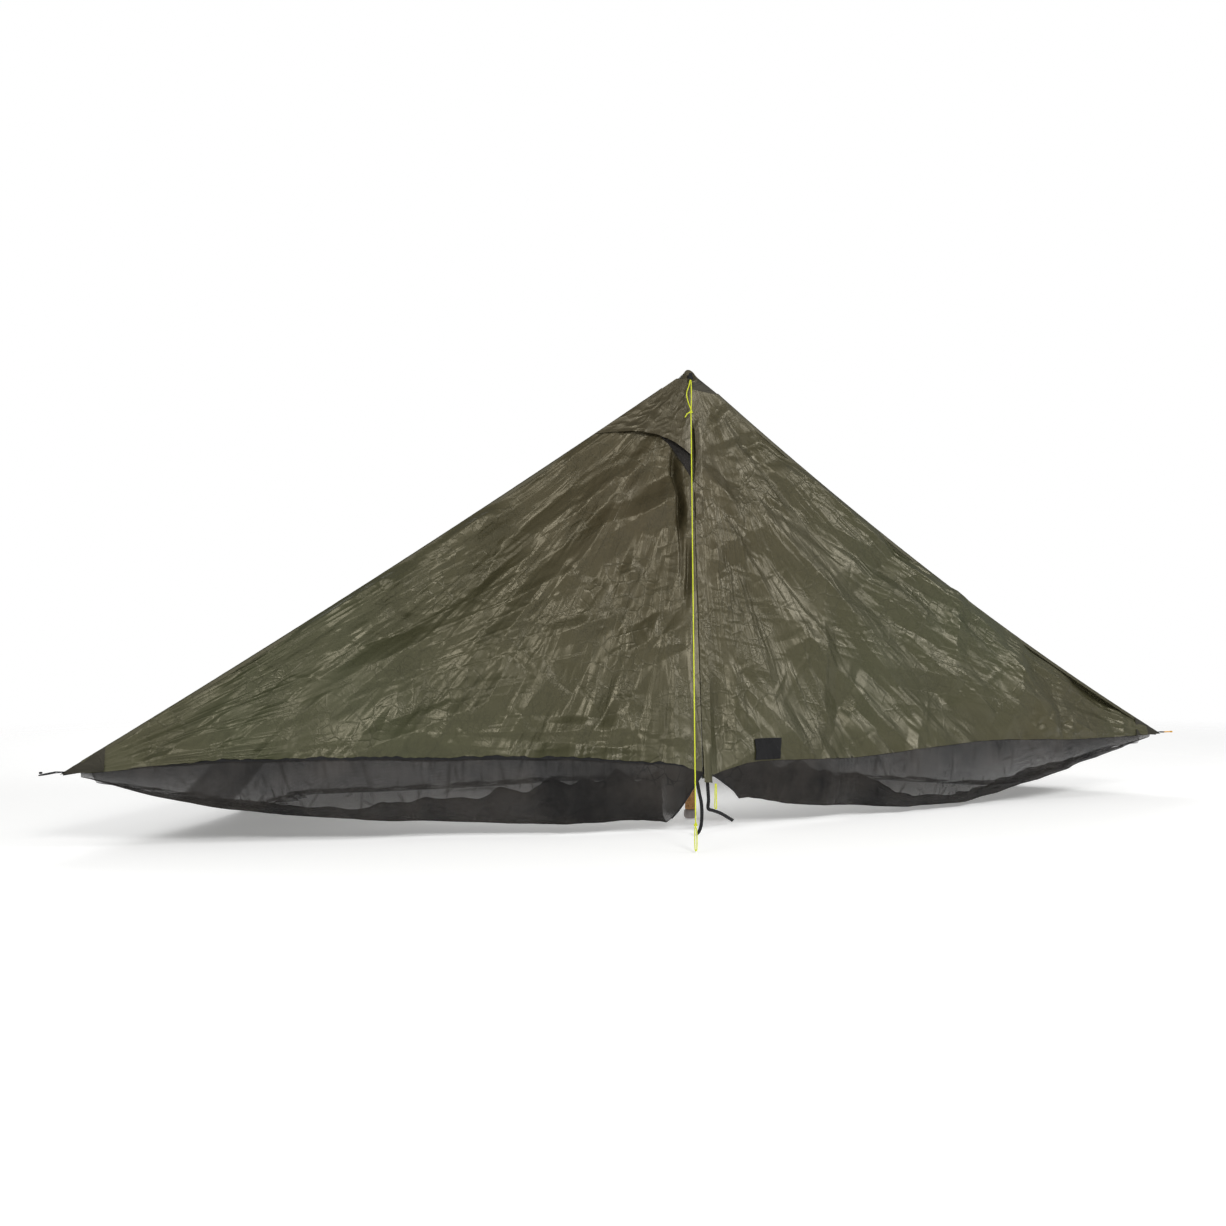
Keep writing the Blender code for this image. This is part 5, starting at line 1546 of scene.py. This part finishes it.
class Door(SubAssembly):
    """One front door with its tapes, zip coil, skirt and ribbon tie."""

    # Points of each ribbon: reach along the front pull, distance to its right, and height.
    RIBBONS = {
        "left": (
            (0.272, 0.006, 0.1294), (0.276, 0.011, 0.100), (0.280, 0.0160, 0.075), (0.290, 0.0170, 0.048),
            (0.312, 0.0140, 0.022), (0.338, 0.0070, 0.0085), (0.360, 0.0010, 0.0055),
        ),
        "right": (
            (0.259, 0.033, 0.1290), (0.260, 0.034, 0.1174), (0.262, 0.036, 0.082), (0.260, 0.0355, 0.058),
            (0.240, 0.050, 0.050), (0.205, 0.073, 0.038), (0.155, 0.098, 0.019), (0.122, 0.111, 0.008),
        ),
    }

    def __init__(self, side: str, finishes: Finishes) -> None:
        super().__init__(finishes, Body(f"{side}_door"))
        self.side, self.front = side, FRONTS[side]

    def build(self) -> None:
        """Makes the door's pieces."""
        self.cloth()
        self.hem()
        self.tapes()
        self.skirt()
        self.ribbon()
        if self.side == "right":
            self.label()
            self.pull_loop()

    def cloth(self) -> None:
        """The door's crumpled cloth, from the fold line to the hem."""
        front = self.front
        across, down = spread(440, 200)
        share = 0.0003 + (1.0 - CLOTH.patch_share * 0.6 - 0.0003) * across**1.35
        height = np.linalg.norm(front.fold_line(share) - front.hem(share), axis=-1)
        if self.side == "left":
            scallop = noise(share * 30.0, share * 0.0, 12) + 0.6 * noise(share * 75.0, share * 0.0, 13)
            shown = (0.0095 + 0.0055 * scallop) * smoothstep(0.0, 0.05, share)
            shown = shown * (1.0 - smoothstep(0.75, 0.95, share))
        else:
            shown = 0.0012 + 0.0010 * noise(share * 40.0, share * 0.0, 14)
        points = front.door(share, down * (1.0 - np.maximum(shown, 0.0004) / height))
        thing = front.sheet(f"{self.side}_door_cloth", points)
        self.add(thing, self.finishes.nylon, f"{self.side}_door_panel")

    def hem(self) -> None:
        """The puckered black tape along the hem."""
        front = self.front
        share = np.linspace(0.0030, 1.0 - CLOTH.patch_share * 0.6, 420)
        rows, places = [], []
        for step, drop in enumerate((CLOTH.hem_tape, 0.010, 0.005, 0.0)):
            foot = front.hem(share)
            line = foot + unit(front.fold_line(share) - foot) * drop
            pucker = 0.0006 * noise(share * 95.0, np.full_like(share, step * 0.7), 21)
            rows.append(front.dressed(line, -0.0016) + front.normal * column(pucker))
            places.append(np.stack([share * front.reach, np.full_like(share, drop)], axis=-1))
        thing = grid_object(f"{self.side}_hem_band", np.array(rows), front.normal, places=np.array(places))
        self.add(thing, self.finishes.tape, f"{self.side}_door_hem_tape")

    def tapes(self) -> None:
        """The zip tape and the coil of teeth along its edge."""
        front = self.front
        down = np.linspace(0.003, 1.0, 160)
        offsets = np.array([0.0012, 0.004, 0.008, 0.0136]) / front.reach
        columns = [front.door(np.full_like(down, offset), down, -0.0016) for offset in offsets]
        grid = np.stack(columns, axis=1)
        self.add(front.sheet(f"{self.side}_zip_band", grid), self.finishes.tape, f"{self.side}_zip_tape")
        edge = front.door(np.full_like(down, 0.0008 / front.reach), down, -0.0024)
        turns = int(path_length(edge) / 0.0022)
        steps = np.linspace(0.0, 1.0, turns * 8)
        turn = 2.0 * np.pi * turns * steps
        coil = between(edge, steps, np.linspace(0, 1, len(edge)))
        coil = coil + front.along * column(0.0007 * np.cos(turn))
        coil = coil + front.normal * column(0.0010 * np.sin(turn))
        self.add(sweep(f"{self.side}_zip_coil", coil, 0.00032, 4), self.finishes.clamp)

    def skirt(self) -> None:
        """The door's netting and the binding of its edge beside the zip."""
        net = DoorNet(self.side)
        points = net.points()
        thing = grid_object(f"{self.side}_door_skirt", points, net.out, places=net.places)
        add_layers(thing, net.layers())
        self.add(thing, self.finishes.netting, f"{self.side}_door_netting")
        edge = points[: int(net.ROWS * net.HANG_END) + 1, 0]
        binding = sweep(f"{self.side}_skirt_binding", smooth_path(edge[::6], 60), 0.0022, 8)
        self.add(binding, self.finishes.tape)

    def ribbon(self) -> None:
        """The ribbon that ties the rolled door back."""
        route = smooth_path([front_point(*place) for place in self.RIBBONS[self.side]], 60)
        facing = front_point(1.0, 0.0, 0.0)
        sides = unit(np.cross(np.gradient(route, axis=0), facing))
        offsets = np.linspace(-0.5, 0.5, 7)[None, :, None]
        cup = facing * ((2.0 * offsets) ** 2 * 0.0006)
        grid = route[:, None] + sides[:, None] * (offsets * CLOTH.ribbon) + cup
        places = band_places(np.linspace(0, path_length(route), 60), np.linspace(0, CLOTH.ribbon, 7))
        thing = grid_object(f"{self.side}_door_tie", grid, places=places)
        thicken(thing, CLOTH.ribbon_wall)
        self.add(thing, self.finishes.tape, f"{self.side}_ribbon_tie")

    def label(self) -> None:
        """The bare label: a black cloth patch with a folded, sewn border."""
        front = self.front
        place, width, tall = CLOTH.label_place, CLOTH.label_width, CLOTH.label_height
        height = float(np.linalg.norm(front.fold_line(place) - front.hem(place)))
        across, down = spread(48, 36)
        share = place + width * (across - 0.5) / front.reach
        drop = 1.0 - (0.004 + tall * (1.0 - down)) / height
        edge = np.minimum(np.minimum(across, 1.0 - across) * width, np.minimum(down, 1.0 - down) * tall)
        rim = 0.0004 * (1.0 - smoothstep(0.0035, 0.0045, edge))
        points = front.door(share, drop) + front.normal * column(0.0034 + rim)
        thing = front.sheet("door_label", points)
        thicken(thing, CLOTH.label_wall, -1.0)
        self.add(thing, self.finishes.label, "label_patch")

    def pull_loop(self) -> None:
        """The yellow loop of cord at the foot of the right door."""
        steps = ((-0.006, 0.0012), (0.012, 0.0018), (0.030, 0.0019), (0.052, 0.0024), (0.0590, 0.0016))
        path = loop_path(front_point(0.262, 0.055, 0.118), -UP, FRONT_ACROSS, steps, 0.0605, 72)
        loop = cord_curve("door_pull_cord", path, CORDS.pull)
        self.add(loop, self.finishes.cord, "door_pull_loop")


class Guyline(SubAssembly):
    """The front guyline: from the peak's webbing through its knot to the loop on the ground."""

    # Reach along the front pull, distance to its right, and height of both ends.
    TOP, END = (0.030, 0.0, 1.222), (0.660, -0.0175, 0.0015)
    # From the webbing back to the loop's start, from there to the top knot, and the ground loop's length.
    BACK, TO_KNOT, GROUND = 0.0051, 0.111, 0.070
    SAG = 0.004
    # Distances down the line and to its right, from the loop's start, the ground knot or the top knot.
    STRAND = ((0.0, 0.0004), (0.030, 0.0015), (0.075, 0.0012))
    SECOND = ((0.0, -0.0010), (0.020, -0.0040), (0.050, -0.0115), (0.078, -0.0075), (0.098, -0.0018))
    TAIL = ((0.0, 0.0012), (0.0050, -0.0090), (0.0180, -0.0165))
    GROUND_LOOP = (
        (0.012, 0.0020), (0.035, 0.0027), (0.060, 0.0022), (0.0665, 0.0),
        (0.060, -0.0022), (0.035, -0.0027), (0.012, -0.0020), (0.003, 0.0),
    )

    def __init__(self, finishes: Finishes) -> None:
        super().__init__(finishes)
        self.top, end = front_point(*self.TOP), front_point(*self.END)
        self.down, self.side = unit(end - self.top), FRONT_ACROSS
        self.start = self.top - self.down * self.BACK
        self.knot = self.start + self.down * self.TO_KNOT
        self.ground = end - self.down * self.GROUND

    def build(self) -> None:
        """Makes the webbing, the line, the loop's second strand with the tail, and the knots."""
        turn = np.linspace(0.0, 2.0 * np.pi, 50)
        reach, swell = 0.0120 + 0.0120 * np.cos(turn), 0.0032 * np.sin(turn)
        ring = self.top - self.down * column(reach) + unit(np.cross(self.side, self.down)) * column(swell)
        self.add(webbing_band("peak_webbing_band", ring, self.side, 0.05), self.finishes.tape, "peak_webbing")
        self.line()
        self.loop_and_tail()

    def route(self, start: Array, steps: Table) -> list[Array]:
        """Points at each step's distance down the line from start, and to its right."""
        return [start + self.down * ahead + self.side * aside for ahead, aside in steps]

    def line(self) -> None:
        """The line with its loop on the ground, and the knots at both its ends."""
        line = [
            self.knot + (self.ground - self.knot) * share - UP * (self.SAG * arch(share))
            for share in np.linspace(0.0, 1.0, 22)
        ]
        route = [*self.route(self.start, self.STRAND), *line, *self.route(self.ground, self.GROUND_LOOP)]
        path = smooth_path(route, 420)
        main = cord_curve("front_guyline", path, CORDS.guyline)
        self.add(main, self.finishes.cord, "guyline", "guyline_ground_loop")
        top_knot = knot_object("guyline_top_knot", self.knot, self.down, self.side, CORDS.guyline_knot)
        self.add(top_knot, self.finishes.cord, "guyline_knot")
        foot_knot = knot_object("guyline_foot_knot", self.ground, self.down, self.side, CORDS.guyline_knot)
        self.add(foot_knot, self.finishes.cord)

    def loop_and_tail(self) -> None:
        """The second strand of the peak's loop, and the tail that it leaves past the knot."""
        path = smooth_path([*self.route(self.start, self.SECOND), *self.route(self.knot, self.TAIL)], 90)
        tail = cord_curve("guyline_loop_and_tail", path, CORDS.loop)
        self.add(tail, self.finishes.cord, "guyline_peak_loop")


class Pole(SubAssembly):
    """The trekking pole: turned pieces that stand for the CAD ones."""

    WALL = 0.0008
    # Each tube's outer radius, lower end, upper end and body.
    TUBES = {
        "pole_upper_tube": (0.0090, 0.0253, 0.500, Body.POLE_UPPER),
        "pole_middle_tube": (0.0079, 0.400, 0.860, Body.POLE_MIDDLE),
        "pole_lower_tube": (0.0068, 0.760, 1.190, Body.POLE_LOWER),
    }
    # Radius and height along each profile.
    GRIP = (
        (0.0093, 0.150), (0.0115, 0.150), (0.0126, 0.1485), (0.0137, 0.144), (0.0141, 0.134), (0.0139, 0.122),
        (0.0130, 0.109), (0.0131, 0.098), (0.0140, 0.086), (0.0145, 0.075), (0.0141, 0.063), (0.0133, 0.051),
        (0.0138, 0.041), (0.0148, 0.033), (0.0145, 0.028), (0.0138, 0.0254), (0.0093, 0.0254),
        (0.0093, 0.150),
    )
    CAP = (
        (0.0, 0.0250), (0.0135, 0.0250), (0.0160, 0.0232), (0.0174, 0.0190), (0.0178, 0.0130),
        (0.0175, 0.0075), (0.0164, 0.0034), (0.0145, 0.0010), (0.0120, 0.0), (0.0, 0.0),
    )
    TIP = (
        (0.0, 1.246), (0.0014, 1.246), (0.0021, 1.2435), (0.0022, 1.240), (0.0022, 1.222), (0.0030, 1.2185),
        (0.0046, 1.216), (0.0050, 1.2120), (0.0066, 1.197), (0.0068, 1.1945), (0.0068, 1.1904), (0.0, 1.1904),
    )

    def build(self) -> None:
        """Makes the tubes, the grip, its cap and the tip."""
        for name, (radius, foot, top, body) in self.TUBES.items():
            inner = radius - self.WALL
            profile = ((radius, foot), (inner, foot), (inner, top), (radius, top), (radius, foot))
            thing = lathe(f"{name}_turned", profile, 48)
            thing.data.set_sharp_from_angle(angle=math.radians(40.0))
            self.add(thing, self.finishes.tube, name, body=body)
        for name, profile, segments, body, finish in (
            ("cork_grip", self.GRIP, 72, Body.POLE_UPPER, self.finishes.cork),
            ("grip_cap", self.CAP, 72, Body.POLE_UPPER, self.finishes.cap),
            ("pole_tip", self.TIP, 40, Body.POLE_LOWER, self.finishes.tip),
        ):
            self.add(lathe(f"{name}_turned", profile, segments, 1), finish, name, body=body)


def add_layers(thing: Thing, layers: Array) -> None:
    """Stores how many times the netting lies folded at each vertex."""
    attribute = thing.data.attributes.new("layers", "FLOAT", "POINT")
    attribute.data.foreach_set("value", np.asarray(layers.reshape(-1), dtype=np.float32))


def outward_faces(thing: Thing) -> None:
    """Turns a band's or skirt's faces so that they look away from the middle of the floor."""
    mesh = thing.data
    centres, normals = np.empty(len(mesh.polygons) * 3), np.empty(len(mesh.polygons) * 3)
    mesh.polygons.foreach_get("center", centres)
    mesh.polygons.foreach_get("normal", normals)
    away = centres.reshape(-1, 3) - np.array([0.0, 0.47, 0.0])
    if (away[:, :2] * normals.reshape(-1, 3)[:, :2]).sum() < 0:
        mesh.flip_normals()


def hang_net(
    top: Array, out: Array, along: Array, low: Array, across: Array, down: Array, seed: int
) -> tuple[Array, Array]:
    """Netting that falls in gathers from its top edge and then lies bunched at its lowest height.

    Over its fall it tucks in by CLOTH.net_tuck f^1.5, with f the share of the fall. The rest lies
    inward in small rolls. Pleats shift it along the hem by a sine that grows downwards.

    Args:
        top: points of the upper edge.
        out, along: directions away from the shelter and along the hem.
        low: lowest height below each point.
        across, down: shares of the grid.
        seed: picks the gathers.
    Returns:
        The points, and how many layers lie at each, more towards the top edge as painted shade.
    """
    size = np.minimum(1.0, (top[..., 2] - low) / CLOTH.net_full)
    fall_end = 0.66
    fall = np.minimum(1.0, down / fall_end)
    lying = np.maximum(0.0, down - fall_end) / (1.0 - fall_end)
    uneven = noise(across * 30.0, fall * 0.6, seed) + 0.5 * noise(across * 75.0, fall * 1.5, seed + 1)
    phase = 2.0 * np.pi * (11.0 * across + 0.9 * noise(across * 5.0, fall * 0.5, seed + 2))
    ruffle = 0.008 * np.sin(phase) + 0.005 * uneven
    grow = fall**1.4
    points = top + out * column(size * (ruffle * grow - CLOTH.net_tuck * fall**1.5 - CLOTH.net_bunch * lying))
    points = points + along * column(size * 0.006 * grow * np.cos(phase + 0.7))
    rolls = 0.5 + 0.5 * np.sin(2.0 * np.pi * (1.6 * lying + 0.7 * noise(across * 14.0, lying, seed + 3)))
    rise = 0.016 * size * rolls * np.sin(np.pi * np.minimum(1.0, lying * 1.05)) * (lying > 0)
    points[..., 2] = top[..., 2] + (low - top[..., 2]) * fall + rise
    # Painted shade: the layers fall from the top edge down, which darkens the netting's upper part.
    return points, 1.5 - 0.5 * fall - 0.3 * lying


def knot_object(name: str, place: Array, along: Array, side: Array, radius: float) -> Thing:
    """An overhand knot: a trefoil line (sin t + 2 sin 2t, cos t - 2 cos 2t, -sin 3t) swept with the cord."""
    turn = np.linspace(0.0, 2.0 * np.pi, 120)
    third = np.cross(along, side)
    x, y, z = np.sin(turn) + 2 * np.sin(2 * turn), np.cos(turn) - 2 * np.cos(2 * turn), -np.sin(3 * turn)
    path = place + (side * column(x) + third * column(z * 1.2) + along * column(y)) * radius / 3.0
    return sweep(name, path, radius * 0.33, 10)


def flap_object(name: str, top: float, foot: float, slants: tuple[float, float], rows: int, seed: int):
    """A strip of the storm flap between two heights of the zip line, its free edge wavy.

    The flap is 27 mm wide. It lies close, leaves room for the slider at both ends of its travel,
    and gapes by 11 mm at its upper end. Its ends are cut at a slant, so that each is lower by the
    given height at the seam.
    """
    front = FRONTS["right"]
    across, down = spread(18, rows)
    height = top + (foot - top) * down - (slants[0] + (slants[1] - slants[0]) * down) * (1.0 - across)
    high = smoothstep(0.93, 0.99, height) * (1.0 - smoothstep(1.06, 1.11, height))
    low = 1.0 - smoothstep(0.20, 0.24, height)
    low = low + smoothstep(0.825, 0.850, height) * (1.0 - smoothstep(0.885, 0.910, height))
    wave = noise(down * 7.0, across, seed) + 0.5 * noise(down * 19.0, across * 2.0, seed + 1)
    creases = Creases(90, (0.010, 0.05), (0.004, 0.010), 0.24)
    lines = creases.scatter(seed + 70, (0.03, 1.2), lambda x, y, pick: any_way(pick))
    away = CLOTH.flap * (1.0 - across)
    folds = creased(away, PITCH.peak - height, lines) * smoothstep(0.0, 0.3, 1.0 - across)
    stand = 0.0026 - 0.0012 * across + 0.0036 * low * across + (0.011 + 0.003 * wave) * high * across**1.5
    stand = stand + folds * (0.35 + 0.65 * across) * (1.0 - low) + 0.0004 * wave * across
    stand = stand + 0.0034 * low * arch(across)
    points = zip_line(height) + front.along * column(0.0013 + away) + front.normal * column(stand)
    return front.sheet(name, points)


class StormFlap(SubAssembly):
    """The storm flap that folds, with its tail past the hem."""

    def build(self) -> None:
        """Makes the flap's cloth."""
        length = float(np.linalg.norm(ZIP_TOP - ZIP_FOOT))
        top, foot = PITCH.zip_top - 0.021, PITCH.zip_foot - 0.008 * length
        thing = flap_object("storm_flap_cloth", top, foot, (-0.007, 0.0), 220, 9)
        self.add(thing, self.finishes.nylon, "storm_flap")


def finish_cad_nodes(nodes: dict, finishes: Finishes) -> None:
    """Gives the CAD nodes that stay in view their finishes."""
    looks = {"zip_slider": finishes.enamel, "zip_pull": finishes.lever}
    clamp = {"collar": finishes.clamp, "lever": finishes.lever, "pin": finishes.steel}
    for part, finish in clamp.items():
        looks.update({f"{place}_clamp_{part}": finish for place in ("middle", "upper")})
    for name, finish in looks.items():
        for place in nodes[name].material_slots:
            place.material = finish


class Studio:
    """The photograph's camera, a pale floor and soft light."""

    # The camera's reach in front of the pole, its distance to the left and its height.
    DISTANCE, OFFSET, HEIGHT = 4.5, 0.216, 0.574
    # Millimetres.
    LENS, SENSOR = 47.16, 36.0
    FLOOR = 11.0
    FLOOR_DROP = 0.0006
    SURROUNDINGS = 0.32
    # The weak inside light's place, width, depth and power in watts.
    INSIDE = ((0.0, 0.42, 0.52), 1.1, 0.3, 2.6)
    # Each other light's place, the point it faces, its width and its power in watts.
    LIGHTS = {
        "key": ((3.9, -3.1, 3.1), (0.2, 0.0, 0.5), 1.3, 112.0),
        "front": ((-0.7, -5.2, 3.0), (-0.6, 0.0, 0.5), 1.2, 145.0),
        "fill": ((-5.0, -2.4, 3.0), (0.0, 0.0, 0.4), 2.0, 100.0),
        "back": ((0.5, 4.5, 3.4), (0.0, 0.0, 0.6), 3.0, 110.0),
    }

    def build(self) -> None:
        """Makes the camera, floor and lights."""
        self.camera()
        self.floor()
        self.surroundings()
        self.lights()

    def camera(self) -> None:
        """A level camera in front of the doors, turned to the photograph's bearing."""
        data = bpy.data.cameras.new("camera")
        data.lens, data.sensor_width = self.LENS, self.SENSOR
        data.clip_start, data.clip_end = 0.05, 60.0
        thing = new_object("camera", data)
        thing.location = front_point(self.DISTANCE, -self.OFFSET, self.HEIGHT).tolist()
        thing.rotation_euler = (math.pi / 2.0, 0.0, -PITCH.bearing)
        bpy.context.scene.camera = thing

    def floor(self) -> None:
        """A wide pale floor just under the object."""
        across, down = spread(8, 8)
        level = np.full_like(across, -self.FLOOR_DROP)
        points = np.stack([(across - 0.5) * self.FLOOR, (down - 0.5) * self.FLOOR, level], axis=-1)
        thing = grid_object("studio_floor", points, UP)
        thing.data.materials.append(PaleFloor().build())

    def surroundings(self) -> None:
        """A white backdrop, which the camera sees, in dimmer surroundings, which light the object.

        The cloth's gloss therefore comes from the lights.
        """
        world = bpy.data.worlds.new("studio")
        world.use_nodes = True
        nodes, links = world.node_tree.nodes, world.node_tree.links
        seen = nodes.new("ShaderNodeLightPath").outputs["Is Camera Ray"]
        ramp = nodes.new("ShaderNodeMapRange")
        ramp.inputs["To Min"].default_value, ramp.inputs["To Max"].default_value = self.SURROUNDINGS, 1.0
        links.new(seen, ramp.inputs["Value"])
        links.new(ramp.outputs[0], nodes["Background"].inputs["Strength"])
        nodes["Background"].inputs["Color"].default_value = (1.0, 1.0, 1.0, 1.0)
        bpy.context.scene.world = world
        bpy.context.scene.view_settings.view_transform = "Standard"

    def lights(self) -> None:
        """Four soft lights round the object and a weak one inside."""
        for name, (place, aim, size, power) in self.LIGHTS.items():
            data = bpy.data.lights.new(name, "AREA")
            data.shape, data.size, data.energy = "SQUARE", size, power
            thing = new_object(name, data)
            thing.location = place
            away = np.array(place) - np.array(aim)
            level = math.hypot(away[0], away[1])
            thing.rotation_euler = (math.atan2(level, away[2]), 0.0, math.atan2(away[0], -away[1]))
        place, width, depth, power = self.INSIDE
        data = bpy.data.lights.new("inside", "AREA")
        data.shape, data.size, data.size_y, data.energy = "RECTANGLE", width, depth, power
        new_object("inside", data).location = place


def main() -> None:
    """Builds the tarp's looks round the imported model."""
    logging.basicConfig(level=logging.INFO, format="%(message)s")
    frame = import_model()
    finishes = Finishes()
    Studio().build()
    Guyline(finishes).build()
    Canopy(finishes).build()
    for side in FRONTS:
        Door(side, finishes).build()
    StormFlap(finishes, Body.FLAP).build()
    Pole(finishes).build()
    finish_cad_nodes(frame["nodes"], finishes)
    LOG.info("%d pieces", SubAssembly.count)
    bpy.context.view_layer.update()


if __name__ == "__main__":
    main()
